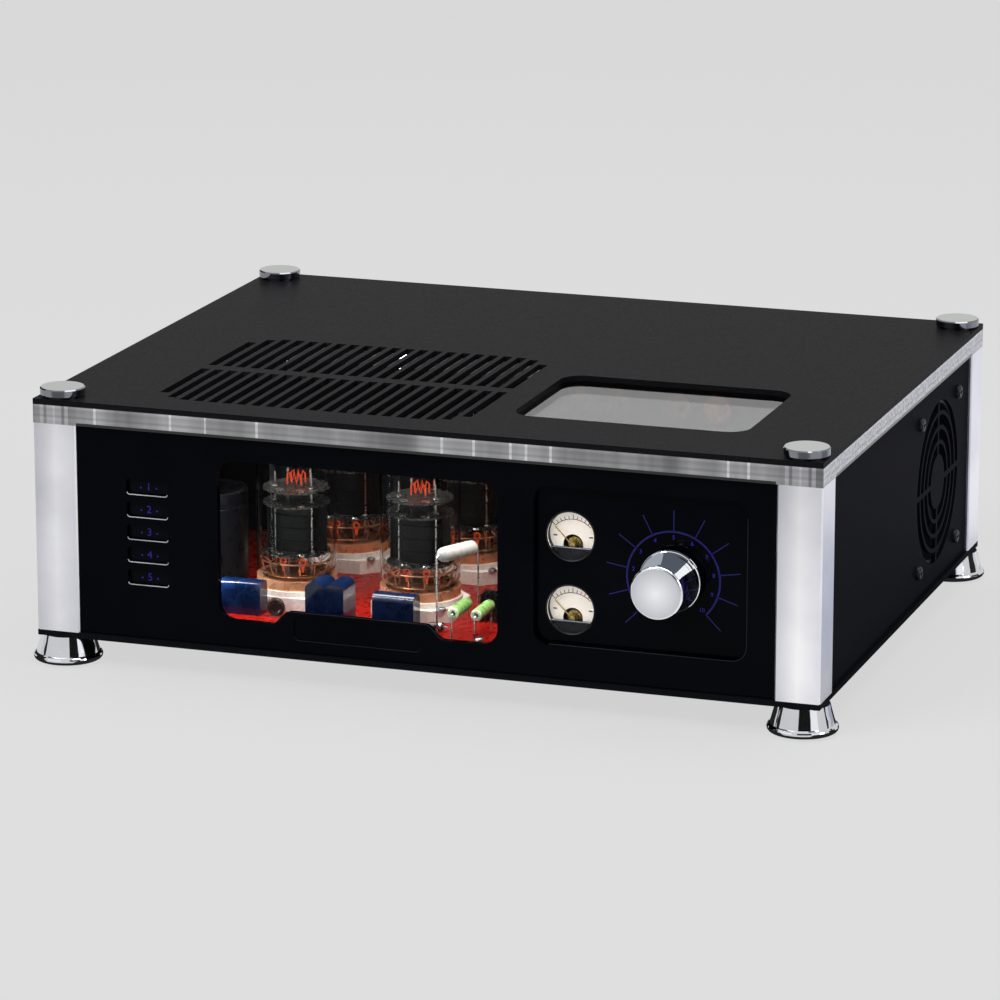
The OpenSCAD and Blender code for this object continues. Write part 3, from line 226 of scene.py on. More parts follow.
zinc = grain("steel_zinc_plated", PLATED, (0.28, 0.45), ("a9adb4", "c6c9ce"), 0.002, 1,
             "tie_rods volume_shaft volume_pot pot_nut transformer_clamp")
print("chrome and plated steel:", chrome.name, zinc.name)

# %% [markdown]
# The lid is a black sheet with a satin lacquer; base, sides and back are steel sheet with a fine black powder coat. A
# powder coat melts into a skin with a faint orange-peel wave, less than a millimetre from crest to crest. Both hardly
# shine, so their specular level is low and the roughness in the middle.

# %% Black sheet metal
LACQUER_WAVE, POWDER_WAVE = 1.2, 0.8
lacquer = grain("aluminium_satin_lacquer", LACQUER_WAVE, (0.34, 0.46), ("121214", "171719"), 0.003, 0,
                "lid_sheet", shine=0.011)
powder = grain("steel_powder_coat", POWDER_WAVE, (0.4, 0.55), ("0e0f13", "131419"), 0.012, 0,
               "base_plate left_panel right_panel rear_panel", shine=0.004)
print("sheets:", lacquer.name, powder.name)

# %% [markdown]
# The front is cast black acrylic, polished. It is flat and deep black, and dust and wiping leave soft smears a few
# centimetres wide, which only show in its gloss.

# %% Black acrylic
WIPE_MARK = 35.0
cast = grain("acrylic_cast_black", WIPE_MARK, (0.05, 0.12), ("020306", "040509"), 0, 0,
             "front_panel control_plate name_plaque", shine=0.025)
smoked = grain("acrylic_smoked_polished", WIPE_MARK, (0.07, 0.14), ("05060a", "08090e"), 0, 0,
               "key_1 key_2 key_3 key_4 key_5", shine=0.03)
print("front:", cast.name, smoked.name)

# %% [markdown]
# Clear acrylic lets light through, and its edges gather it, so they look lighter than the sheet. A pure glass shader
# would need many bounces inside the thick sheet under the lid. So its upright edges, found by the surface normal, let
# less light through, and their light grey is painted light. What would show in such an edge is painted into its
# colour as painted reflections: slow changes of grey and a few thin bright lines along the front, a fainter edge
# halfway up, the black panel mirrored as a dark band along the foot, and the tie rods near the corners. The sides
# were only sawn, so they are speckled. The window pane is thin and coated and hardly mirrors anything: a low index of
# refraction says so.

# %% Clear acrylic
clear = finish("acrylic_clear_coated", "f8fafb", 0, 0, "window_pane meter_lenses", IOR=1.08, Transmission_Weight=1)

EDGE_WAVE, LINE_PITCH, LINE_W, LINE_FROM, SAW_MARK = 38.0, 15.0, 0.7, 0.55, 1.6
ROD_AT, ROD_REACH, ROD_SHARE, PANEL_END_X, PANEL_END_Y = 203.0, 8.0, 0.6, 190.5, 144.5
FOOT_SHARE, EDGE_THROUGH, LEVEL = 0.15, 0.3, 0.5
sawn = finish("acrylic_clear_sawn_edge", "d8dade", 0.02, 0, "clear_sheet", IOR=1.49)
tree = sawn.node_tree
spot = add(tree, "TexCoord").outputs["Object"]
looks = add(tree, "NewGeometry").outputs["True Normal"]
place = add(tree, "SeparateXYZ", {"Vector": spot}).outputs
normal = add(tree, "SeparateXYZ", {"Vector": looks}).outputs
wave = add(tree, "TexNoise", {"W": place["X"], "Scale": 1 / (EDGE_WAVE * MM), "Detail": 4}, noise_dimensions="1D")
border = add(tree, "TexVoronoi", {"W": place["X"], "Scale": 1 / (LINE_PITCH * MM)},
             voronoi_dimensions="1D", feature="DISTANCE_TO_EDGE")
saw = add(tree, "TexNoise", {"Vector": spot, "Scale": 1 / (SAW_MARK * MM), "Detail": 2})
sheet_low, sheet_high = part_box("clear_sheet")

# Each row is one sum: its name, the first value and what is done, then the second value
sums = {"x": place["X"], "y": place["Y"], "z": place["Z"], "side": normal["X"], "flat": normal["Z"],
        "wave": wave.outputs["Fac"], "border": border.outputs["Distance"], "saw": saw.outputs["Fac"]}
for row, second in (
        ("x x ABSOLUTE", 0), ("y y ABSOLUTE", 0), ("side side ABSOLUTE", 0), ("flat flat ABSOLUTE", 0),
        ("rods x SUBTRACT", ROD_AT * MM), ("rods rods ABSOLUTE", 0), ("rods rods DIVIDE", ROD_REACH * MM),
        ("corner rods LESS_THAN", 1), ("corner corner MULTIPLY", ROD_SHARE),
        ("thin border LESS_THAN", LINE_W / LINE_PITCH), ("light wave GREATER_THAN", LINE_FROM),
        ("line thin MULTIPLY", "light"), ("side side GREATER_THAN", LEVEL), ("flat flat GREATER_THAN", LEVEL),
        ("up z SUBTRACT", sheet_low.z), ("up up DIVIDE", sheet_high.z - sheet_low.z), ("low up LESS_THAN", FOOT_SHARE),
        ("by_front x LESS_THAN", PANEL_END_X * MM), ("by_side y LESS_THAN", PANEL_END_Y * MM),
        ("by_panel by_front MAXIMUM", "by_side"), ("foot low MULTIPLY", "by_panel"),
        ("through flat MULTIPLY", 1 - EDGE_THROUGH), ("through through ADD", EDGE_THROUGH)):
    name, first, operation = row.split()
    sum_node = add(tree, "Math", {0: sums[first], 1: sums.get(second, second)}, operation=operation)
    sums[name] = sum_node.outputs["Value"]

# Greys for the painted reflections in the edge: slow waves, the tie rods near the corners, bands up the edge; the sawn
# speckle is the sides' own
greys = {}
for name, stops in (
        ("wave", ((0.35, "88888a"), (0.65, "cececf"))),
        ("saw", ((0.35, "b4b4b8"), (0.65, "f2f2f4"))),
        ("rods", ((0.0, "ffffff"), (0.12, "d4d4d8"), (0.5, "d4d4d8"), (0.56, "8c8c90"), (0.7, "8c8c90"),
                  (0.78, "e0e0e4"))),
        ("up", ((0.15, "e4e4e4"), (0.3, "f4f4f4"), (0.42, "cccccc"), (0.56, "ececec"), (0.8, "dcdcdc"),
                (0.94, "ffffff")))):
    greys[name] = add(tree, "ValToRGB", {"Fac": sums[name]}, stops).outputs["Color"]

# Layer by layer the painted reflections go into the edge's colour: bright lines, tie rods, bands, and the dark band of
# the black panel along the foot
tone = greys["wave"]
for share, over, kind in ((sums["line"], linear("fdfdfe"), "MIX"), (sums["corner"], greys["rods"], "MIX"),
                          (sums["side"], greys["saw"], "MIX"), (1.0, greys["up"], "MULTIPLY"),
                          (sums["foot"], linear("0a0b0d"), "MIX"), (sums["flat"], linear("fafbfc"), "MIX")):
    layer = add(tree, "Mix", {SHARE: share, UNDER: tone, OVER: over}, data_type="RGBA", blend_type=kind)
    tone = layer.outputs[MIXED]
feed(tree, "Base Color", tone)
feed(tree, "Transmission Weight", sums["through"])
print("clear pieces:", clear.name, sawn.name)

# %% [markdown]
# Moulded plastics take the grain of their mould. Fan, meter cases, switches and mains inlet are black glass-filled
# plastic with a spark-eroded skin; the pads under the feet are soft black rubber.

# %% Moulded plastic and rubber
SPARK_SKIN, RUBBER_SKIN = 0.4, 0.6
moulded = grain("pbt_moulded_black", SPARK_SKIN, (0.45, 0.6), ("121317", "1a1b20"), 0.01, 0,
                "fan_frame fan_rotor key_switches meter_case_upper meter_case_lower mains_inlet switch_frame "
                "switch_rocker", shine=0.25)
rubber = grain("rubber_moulded", RUBBER_SKIN, (0.7, 0.9), ("0d0d0e", "151516"), 0.02, 0, "foot_pads", shine=0.2)
print("plastics:", moulded.name, rubber.name)

# %% [markdown]
# Circuit boards are glass-fibre sheets under coloured solder resist. The copper tracks below it make brighter stripes,
# here the joints in a pattern of bricks, about one millimetre wide.

# %% Circuit boards
RESIST_WAVE, BRICK_UNIT, BRICK_W, ROW_H, ROW_SHIFT, TRACK_HALF = 6.0, 8.8, 2.6, 0.9, 0.3, 0.06
for name, resist, track, sheet in (("glass_fibre_red_resist", "7c0e08", "8c160e", "circuit_board"),
                                   ("glass_fibre_green_resist", "14502c", "23703f", "key_board")):
    tree = grain(name, RESIST_WAVE, (0.22, 0.36), (resist,), 0, 0, sheet, shine=0.15).node_tree
    bricks = add(tree, "TexBrick",
                 {"Vector": add(tree, "TexCoord").outputs["Object"], "Color1": linear(resist),
                  "Color2": linear(resist), "Mortar": linear(track), "Scale": 1 / (BRICK_UNIT * MM),
                  "Mortar Size": TRACK_HALF, "Brick Width": BRICK_W, "Row Height": ROW_H}, offset=ROW_SHIFT)
    feed(tree, "Base Color", bricks.outputs["Color"])
    print("board:", name)

# %% [markdown]
# The tubes are blown glass on sockets of steatite, a ceramic fired to a dense white with a soft sheen, each in a
# copper-coloured base ring. Film capacitors are dipped in blue epoxy, which runs thicker at the edges and shines.
# Smoothing capacitors wear a shrunk PVC sleeve. The mains transformer is wrapped in turns of amber polyester tape, and
# the output transformers are stacks of varnished steel sheets. At the back, sockets and speaker posts are gold-plated
# brass, and the caps on the posts are glossy ABS in red and black, so that nobody swaps the two wires of a speaker.

# %% Tubes, wound parts and rear fittings
finish("borosilicate_glass_blown", "f6f8f8", 0.01, 0, "tube_glasses", IOR=1.12, Transmission_Weight=1.0)
# Each row: material, grain in mm, roughness, colours, relief in mm, share of metal, solids, stretch of the grain
for row in (
        ("steatite_fired_white", 2.0, (0.32, 0.5), ("d2cac2", "e4ded8"), 0.01, 0, "tube_sockets"),
        ("copper_plate_warm", 6.0, (0.22, 0.38), ("cc8e66", "e2a880"), 0, 0.6, "tube_rings"),
        ("epoxy_dipped_blue", 5.0, (0.07, 0.16), ("05102a", "0a1c3c"), 0.02, 0, "film_capacitors"),
        ("pvc_shrunk_navy", 4.0, (0.24, 0.4), ("182240", "202c52"), 0.02, 0, "smoothing_capacitors"),
        ("polyester_tape_amber", 7.0, (0.22, 0.42), ("7c4420", "b06c38"), 0.15, 0, "mains_transformer",
         (0.3, 0.3, 1.0)),
        ("steel_laminated_varnished", 0.5, (0.4, 0.55), ("1e1e22", "3a3a40"), 0.05, 0.6, "output_transformers",
         (0.02, 1, 0.02)),
        ("brass_gold_plated", 1.5, (0.14, 0.28), ("cca24a", "e2bf6c"), 0.002, 1, "input_sockets speaker_posts"),
        ("abs_moulded_red", 3.0, (0.2, 0.32), ("9a1014", "b81a1e"), 0.01, 0, "post_cap_1 post_cap_3"),
        ("abs_moulded_black", 3.0, (0.2, 0.32), ("101012", "18181a"), 0.01, 0, "post_cap_2 post_cap_4"),
        ("brass_turned", 1.0, (0.22, 0.4), ("b09650", "d0b870"), 0.003, 1,
         "board_pillars needle_upper needle_lower")):
    print("inside and rear:", grain(*row).name)
# The cream card is given a faint glow: painted light that brightens the dial
dials = grain("card_printed_cream", 2.0, (0.5, 0.7), ("f2e2cf", "faf1e6"), 0.005, 0, "meter_dials",
              glow=("fff2e6", 0.28))
print("meter dials:", dials.name)

# %% [markdown]
# The small pieces are built as meshes from four moves that a workshop knows: turning a profile, bending a wire,
# cutting a plate and setting type. One bmesh is the drawing board: each helper draws on it in millimetres, at a place
# given by a matrix, and `piece` takes the drawing off. The matrices face a drawing to the front, to the right side or
# to the rear, with its own Y axis up.

# %% Helpers for shapes
TIP, SHARP, SIDES = 1e-6, math.radians(35), (-1, 1)
bm = bmesh.new()


def facing(x, y, z):
    """Own X to the right, own Y up, own Z out of the front."""
    return Matrix(((1, 0, 0, x), (0, 0, -1, y), (0, 1, 0, z), (0, 0, 0, 1)))


def siding(x, y, z):
    """Own X to the rear, own Y up, own Z out of the right side."""
    return Matrix(((0, 0, 1, x), (1, 0, 0, y), (0, 1, 0, z), (0, 0, 0, 1)))


def backing(x, y, z):
    """Own X to the left, own Y up, own Z out of the rear."""
    return Matrix(((-1, 0, 0, x), (0, 0, 1, y), (0, 1, 0, z), (0, 0, 0, 1)))


def standing(x, y, z):
    """Own axes as the frame's."""
    return Matrix.Translation((x, y, z))


def polar(r, degrees):
    """The point at a distance and an angle."""
    angle = math.radians(degrees)
    return r * math.cos(angle), r * math.sin(angle)


def circle(r, steps=32, x=0.0, y=0.0, start=0.0, sweep=360.0):
    """Points on a circle or an arc, in degrees."""
    last = steps if sweep >= 360 else steps + 1
    around = (polar(r, start + sweep * i / steps) for i in range(last))
    return [(x + px, y + py) for px, py in around]


def band(outer, inner, start, sweep, steps=24):
    """The outline of a flat strip bent round the middle."""
    return circle(outer, steps, 0, 0, start, sweep) + circle(inner, steps, 0, 0, start, sweep)[::-1]


def bar(x0, y0, x1, y1, w):
    """The outline of a straight stroke of width w."""
    along = Vector((x1 - x0, y1 - y0)).normalized() * (w / 2)
    across = Vector((-along.y, along.x))
    return [(x0 + across.x, y0 + across.y), (x0 - across.x, y0 - across.y),
            (x1 - across.x, y1 - across.y), (x1 + across.x, y1 + across.y)]


def ray(inner, outer, degrees, w):
    """The outline of a stroke that points away from the middle."""
    return bar(*polar(inner, degrees), *polar(outer, degrees), w)


def rounded(w, h, r, steps=6):
    """A rectangle with round corners, centred."""
    turns = ((1, 1, 0), (-1, 1, 90), (-1, -1, 180), (1, -1, 270))
    return [p for sx, sy, start in turns for p in circle(r, steps, sx * (w / 2 - r), sy * (h / 2 - r), start, 90)]


def hoop(points, z=0.0):
    """A path at one height through all points and back to the first."""
    return [(x, y, z) for x, y in points + points[:1]]


def mirrored(path):
    """The left half of a path, and the same to the right."""
    return path + [(-x, y) for x, y in path[::-1] if x]


def ring(points, place):
    """One vertex for each point."""
    return [bm.verts.new(place @ Vector(p) * MM) for p in points]


def skin(rings, slot, capped=True):
    """Faces between each ring of vertices and the next, and over both ends. A ring of one vertex is a tip."""
    for lower, upper in zip(rings, rings[1:]):
        for i in range(max(len(lower), len(upper))):
            around = (lower[i % len(lower)], lower[(i + 1) % len(lower)],
                      upper[(i + 1) % len(upper)], upper[i % len(upper)])
            bm.faces.new(list(dict.fromkeys(around))).material_index = slot
    for end in (rings[0][::-1], rings[-1]) if capped else ():
        bm.faces.new(end).material_index = slot


def turned(profile, place, steps=32, slot=0):
    """Turns a profile of (radius, height) pairs round the own Z axis."""
    rings = [ring([(x, y, h) for x, y in (circle(r, steps) if r > TIP else [(0, 0)])], place) for r, h in profile]
    skin(rings, slot, False)


def wire(points, radius, place, steps=8, slot=0):
    """A round wire through points, closed at both ends."""
    points = [Vector(p) for p in points]
    side, rings = None, []
    for i, at in enumerate(points):
        along = (points[min(i + 1, len(points) - 1)] - points[max(i - 1, 0)]).normalized()
        if side is None:
            side = along.orthogonal().normalized()
        side = (side - along * side.dot(along)).normalized()
        other = along.cross(side)
        rings.append(ring([at + side * x + other * y for x, y in circle(radius, steps)], place))
    skin(rings, slot)


def plate(outline, depth, place, slot=0):
    """A flat outline of (x, y) points, cut from sheet: it grows by depth along the own Z axis."""
    skin([ring([(x, y, z) for x, y in outline], place) for z in (0, depth)], slot)


def drawn(name):
    """Makes an object of what is on the drawing board, and wipes the board."""
    mesh = bpy.data.meshes.new(name)
    bm.to_mesh(mesh)
    bm.clear()
    return placed(name, mesh)


def piece(name, materials, body="chassis", stands_for=()):
    """What is on the board becomes a piece on a body, smooth where faces meet at a low angle. One string names its
    materials, in the order of the slots."""
    bmesh.ops.recalc_face_normals(bm, faces=bm.faces)
    for face in bm.faces:
        face.smooth = True
    for edge in bm.edges:
        edge.smooth = edge.calc_face_angle(0) < SHARP
    made = drawn(name)
    for material in materials.split():
        made.data.materials.append(bpy.data.materials[material])
    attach(made, body)
    if stands_for:
        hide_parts(*stands_for)


def box_mm(name):
    """The low and the high corner of a solid's box."""
    return [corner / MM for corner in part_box(name)]


def centre(name):
    """The middle of a solid's box."""
    low, high = box_mm(name)
    return (low + high) / 2


def front_of(name):
    """Where a solid's front lies on the Y axis."""
    return box_mm(name)[0].y


def corners(low, high, inset):
    """Four places (x, y) that lie so far in from the corners of a box."""
    return [(x, y) for x in (low.x + inset, high.x - inset) for y in (low.y + inset, high.y - inset)]


print("helpers ready")

# %% [markdown]
# Printing comes next: the arc and ticks round the knob, and the numbers on arc and keys. Ink lies on the surface as a
# film, so each stroke is a plate a few hundredths of a millimetre thick. Numbers are set with the built-in font,
# turned to a mesh and laid flat. The ink is given a faint glow, painted light that keeps the blue bright. The arc and
# its ticks were printed in a thinner film, so the black below dulls their blue.

# %% Blue ink
INK, INK_CELL, TYPE_SIZE, TYPE_STEPS = 0.06, 1.5, 1.4, 3
# The glow of each ink is painted light
for name, colours, glow in (("ink_screen_printed_blue", ("15156e", "1e1e86"), ("2424c0", 0.07)),
                            ("ink_screen_printed_blue_thin", ("090944", "10105e"), ("1616a0", 0.04))):
    grain(name, INK_CELL, (0.4, 0.6), colours, shine=0.2, glow=glow)


def number(text, height, place, slot=0):
    """Sets a number centred on the place, cut INK thick."""
    type_setting = bpy.data.curves.new("number", "FONT")
    type_setting.body = text
    type_setting.size = height * TYPE_SIZE
    type_setting.align_x, type_setting.align_y = "CENTER", "CENTER"
    type_setting.extrude = INK / 2
    type_setting.resolution_u = TYPE_STEPS
    carrier = bpy.data.objects.new("number", type_setting)
    mesh = carrier.to_mesh()
    mesh.transform(Matrix.Scale(MM, 4) @ place @ standing(0, 0, INK / 2))
    before = len(bm.faces)
    bm.from_mesh(mesh)
    bm.faces.ensure_lookup_table()
    for face in bm.faces[before:]:
        face.material_index = slot
    carrier.to_mesh_clear()
    bpy.data.objects.remove(carrier)
    bpy.data.curves.remove(type_setting)


PLATE_Y, knob_mid = front_of("control_plate"), centre("volume_knob")
RING_R, RING_W, TICK_END, TICK_W, NUMBER_R, NUMBER_H = 24.7, 1.0, 36.0, 0.55, 21.6, 2.3
TICKS, TURN = 11, 270.0
START = 90 - TURN / 2
dial = facing(knob_mid.x, PLATE_Y, knob_mid.z)
plate(band(RING_R + RING_W / 2, RING_R - RING_W / 2, START, TURN, 72), INK, dial)
for i in range(TICKS):
    angle = START + TURN - TURN * i / (TICKS - 1)
    plate(ray(RING_R, TICK_END, angle, TICK_W), INK, dial)
    number(str(i), NUMBER_H, dial @ standing(*polar(NUMBER_R, angle), 0), 1)
piece("volume_scale_print", "ink_screen_printed_blue_thin ink_screen_printed_blue")

KEYS, KEY_NUMBER, DOT_R, DOT_OUT, DOT_DROP = range(1, 6), 4.2, 0.5, 4.4, 0.4
for i in KEYS:
    mid = centre(f"key_{i}")
    face = facing(mid.x, front_of(f"key_{i}"), mid.z)
    number(str(i), KEY_NUMBER, face)
    for side in SIDES:
        plate(circle(DOT_R, 12, side * DOT_OUT, -DOT_DROP), INK, face)
    piece(f"key_print_{i}", "ink_screen_printed_blue", f"key_{i}_body")
print("printed: scale with", TICKS, "ticks,", len(KEYS), "keys")

# %% [markdown]
# Where black acrylic is cut, the milled edge is bevelled and polished, and that narrow slope catches the light as a
# thin line: along the foot of each key opening and of the plaque, along the foot and the right end of the control
# cut-out, and along the raised edge below the window. Each line is a thin round strip, laid into the edge it belongs
# to. The strips under the keys are coloured pale grey, a painted highlight; the others are black satin and show the
# light by their own gloss.

# %% Polished bevels
# Pale grey for a painted highlight; the satin bevels keep the black of the acrylic
grain("acrylic_bevel_polished", WIPE_MARK, (0.2, 0.4), ("8c8f94", "bcbfc4"))
grain("acrylic_bevel_satin", WIPE_MARK, (0.35, 0.5), ("0c0d0f", "16171a"), shine=0.15)
PANEL_Y, BEVEL_R = front_of("front_panel"), 0.28


def ridge(path, x, z):
    """A round strip that lies in the front panel's face."""
    wire([(px, py, 0) for px, py in path], BEVEL_R, facing(x, PANEL_Y + BEVEL_R, z))


KEY_OPENING_W, KEY_OPENING_H, KEY_CORNER = 23.4, 8.5, ((0, 1.2), (0.35, 0.4), (1.2, 0))
left, foot = BEVEL_R - KEY_OPENING_W / 2, BEVEL_R - KEY_OPENING_H / 2
key_path = mirrored([(left + x, foot + y) for x, y in KEY_CORNER] + [(0, foot)])
for i in KEYS:
    mid = centre(f"key_{i}")
    ridge(key_path, mid.x, mid.z)
piece("key_opening_bevels", "acrylic_bevel_polished")

CONTROL_W, CONTROL_H, CONTROL_R, CONTROL_MID = 114.0, 84.0, 8.0, (118.9, 78.2)
right, top = CONTROL_W / 2 - BEVEL_R, CONTROL_H / 2 - BEVEL_R
control_path = [(CONTROL_R - right, -top), *circle(CONTROL_R, 8, right - CONTROL_R, CONTROL_R - top, 270, 90),
                (right, top - CONTROL_R)]

WINDOW_MID, WINDOW_H, TAB_H, TAB_TOP, TAB_FOOT, TAB_STEPS = (-34.8, 75.9), 86.0, 7.3, 75.0, 95.0, 8
foot = BEVEL_R - WINDOW_H / 2
flank = [(-TAB_FOOT / 2 + (TAB_FOOT - TAB_TOP) / 2 * i / TAB_STEPS,
          foot + TAB_H * (1 - math.cos(math.pi * i / TAB_STEPS)) / 2) for i in range(TAB_STEPS + 1)]

PLAQUE_CORNER = ((0, 2.0), (0.6, 0.6), (2.4, 0))
plaque_mid = centre("name_plaque")
left, _, foot = box_mm("name_plaque")[0] - plaque_mid
plaque_path = mirrored([(left + x, foot + y) for x, y in PLAQUE_CORNER])
for name, path, x, z in (("control_opening_bevel", control_path, *CONTROL_MID),
                         ("window_tab_bevel", mirrored(flank), *WINDOW_MID),
                         ("plaque_bevel", plaque_path, plaque_mid.x, plaque_mid.z)):
    ridge(path, x, z)
    piece(name, "acrylic_bevel_satin")
print("bevels: keys, control, tab, plaque")

# %% [markdown]
# Inside each tube stands a cage: a crimped grey-black anode, toothed mica discs that hold it, bright nickel rods,
# heater loops that glow orange above and below it, and a getter ring under the dome. The solid model has a plain cage
# for its weight, and this piece stands for it. The anode is a plate outline with two cooling fins, cut tall, and its
# ribs are wires bent round it.

# %% Tube cages
grain("nickel_carbonised_black", 1.2, (0.6, 0.8), ("09090b", "111113"), 0.01, shine=0.2)
grain("mica_split_sheet", 2.0, (0.2, 0.4), ("36332e", "605c54"), 0.004)
grain("nickel_drawn_wire", 1.0, (0.16, 0.3), ("ccc8c0", "e4e2dc"), 0, 1)
grain("tungsten_glowing", 1.0, (0.4, 0.6), ("d85030",), glow=("e84a20", 0.5))
ANODE, MICA, NICKEL, HEATER = range(4)
GLASS_R, GLASS_WALL = 21.5, 1.0
glass_low, glass_high = box_mm("tube_glasses")
TUBES = corners(glass_low, glass_high, GLASS_R)
STEMS = [standing(x, y, glass_low.z + GLASS_WALL) for x, y in TUBES]
ANODE_FOOT, ANODE_H, ANODE_R, ANODE_HALF, FIN_HALF, FIN_T = 15.0, 26.0, 7.5, 4.5, 17.0, 0.4
RIBS_AT, RIB_R, HEATER_R, CROWN_Y = (6, 13, 20), 0.6, 0.45, 3
MICA_AT, MICA_R, MICA_T, TEETH = (14.2, 41.0, 49.0), 18.0, 0.8, 20
anode_outline = [(FIN_HALF, -FIN_T), (FIN_HALF, FIN_T), *circle(ANODE_R, 12, ANODE_HALF, 0, 4, 86),
                 *circle(ANODE_R, 12, -ANODE_HALF, 0, 90, 86), (-FIN_HALF, FIN_T), (-FIN_HALF, -FIN_T),
                 *circle(ANODE_R, 12, -ANODE_HALF, 0, 184, 86), *circle(ANODE_R, 12, ANODE_HALF, 0, 270, 86)]
rib_path = circle(ANODE_R, 12, ANODE_HALF, 0, -90, 180) + circle(ANODE_R, 12, -ANODE_HALF, 0, 90, 180)
mica_outline = [polar(MICA_R - dip, 360 / TEETH * i + turn) for i in range(TEETH)
                for dip, turn in ((0, 0), (0, 9), (1, 10), (1, 17))]
FRONT_ROD, REAR_ROD, FRONT_R, REAR_R, ROD_ENDS = (10.3, -4.5), (6.5, 4.5), 0.55, 0.8, (1, 58)
EYELET = ((0.5, 0), (1.7, 0), (1.9, 0.4), (1.5, 0.9), (0.5, 0.9))
BUTTON, BUTTON_X, BUTTON_OUT, BUTTON_Y = ((0, 0), (2.4, 0), (2.7, 0.5), (2.2, 1.2), (0, 1.4)), 1.4, 6, -13
LOOP_R, LOOP_OUT, LOOP_Y, LOOP_Z, LOOP_FOOT = 1.6, 5.6, -6, 9.5, 4
CROWN = ((-4, 51), (-4, 56), (-2.6, 57.5), (-1.4, 52), (0, 57.5), (1.4, 52), (2.6, 57.5), (4, 56), (4, 51))
GETTER_R, GETTER_Z, GETTER_WIRE, ARM_WIRE = 6, 64, 0.7, 0.4
GETTER_ARM = ((6.5, 4.5, 57.5), (6.5, 4.5, 62), (5, 3.3, 64))
for stem in STEMS:
    plate(anode_outline, ANODE_H, stem @ standing(0, 0, ANODE_FOOT), ANODE)
    for lift in RIBS_AT:
        wire(hoop(rib_path, ANODE_FOOT + lift), RIB_R, stem, 6, ANODE)
    for lift in MICA_AT:
        plate(mica_outline, MICA_T, stem @ standing(0, 0, lift), MICA)
    for side in SIDES:
        for (out, back), thick in ((FRONT_ROD, FRONT_R), (REAR_ROD, REAR_R)):
            wire([(side * out, back, z) for z in ROD_ENDS], thick, stem, 10, NICKEL)
        for lift in MICA_AT:
            on_mica = stem @ standing(0, 0, lift + MICA_T)
            turned(EYELET, on_mica @ standing(side * FRONT_ROD[0], FRONT_ROD[1], 0), 16, NICKEL)
            turned(BUTTON, on_mica @ standing(BUTTON_X + side * BUTTON_OUT, BUTTON_Y, 0), 16, NICKEL)
        foot = (side * LOOP_OUT, LOOP_FOOT)
        loop = [foot, *circle(LOOP_R, 12, side * LOOP_OUT, LOOP_Z, -60, 300), foot]
        wire([(px, LOOP_Y, pz) for px, pz in loop], HEATER_R, stem, 6, HEATER)
        wire([(px, side * CROWN_Y, pz) for px, pz in CROWN], HEATER_R, stem, 6, HEATER)
    wire(hoop(circle(GETTER_R, 24), GETTER_Z), GETTER_WIRE, stem, 8, NICKEL)
    wire(GETTER_ARM, ARM_WIRE, stem, 6, NICKEL)
piece("tube_cage_set", "nickel_carbonised_black mica_split_sheet nickel_drawn_wire tungsten_glowing",
      stands_for=("tube_cages",))
print("cages for", len(TUBES), "tubes")

# %% [markdown]
# At the foot of each tube, stiff copper-coloured wires stand round the stem between two bright rims. They carry the
# cage and lead the current in. Each is bent out at the top, so that the ring of wires looks like a basket.

# %% Tube stems
RIM_R, RIM_Z, STEM_WIRES, STEM_WIRE_R = 19.4, 11.0, 14, 0.38
RIMS = ((RIM_R, RIM_Z, 0.42), (RIM_R - 2.6, 3.6, 0.4))
DISC = ((0, 0.1), (15.8, 0.1), (15.8, 0.9), (12.5, 1.6), (0, 1.6))
BENT = ((12.0, 1.2), (13.0, 3.0), (16.8, 3.6), (18.2, 6.0), (RIM_R, RIM_Z), (17.2, 10.0), (14.4, 7.6), (12.0, 9.0),
        (9.6, 14.4))
for stem in STEMS:
    turned(DISC, stem, 40)
    for r, z, thick in RIMS:
        wire(hoop(circle(r, 40), z), thick, stem)
    for i in range(STEM_WIRES):
        turn = 360 * (i + 0.5) / STEM_WIRES
        wire([(*polar(r, turn), z) for r, z in BENT], STEM_WIRE_R, stem, 6)
piece("tube_stem_wires", "copper_plate_warm")
print("stem wires:", STEM_WIRES * len(TUBES))

# %% [markdown]
# Screws hold nearly everything else. One drawing serves them all: a low head with a cross recess. The rim of the head
# is joined to a cross with as many points, so the recess is a real hollow and not a picture.

# %% Screws
grain("steel_black_oxide", 1.0, (0.32, 0.48), ("0a0b0d", "121317"), 0.003, 0.4)
ARM_W, ARM_L, ARM_MID = 0.16, 0.55, 0.32
arm_turn, arm_corner = math.degrees(math.atan2(ARM_W, ARM_L)), math.hypot(ARM_W, ARM_L)
CROSS = [(quarter + turn, reach) for quarter in (0, 90, 180, 270) for turn, reach in
         ((-arm_turn, arm_corner), (0, ARM_L), (arm_turn, arm_corner), (30, ARM_MID), (45, ARM_W * 2 ** 0.5),
          (60, ARM_MID))]
HEAD = ((1, 0), (1, 0.45), (0.92, 0.8), (0.74, 1), (None, 1), (None, 0.35))


def screw(r, h, place, slot=0):
    """A screw head of radius r and height h on its own XY plane. A ring without a scale follows the cross."""
    rings = [[(*polar(r * (scale or cross), turn), h * lift) for turn, cross in CROSS] for scale, lift in HEAD]
    skin([ring(points, place) for points in rings], slot)


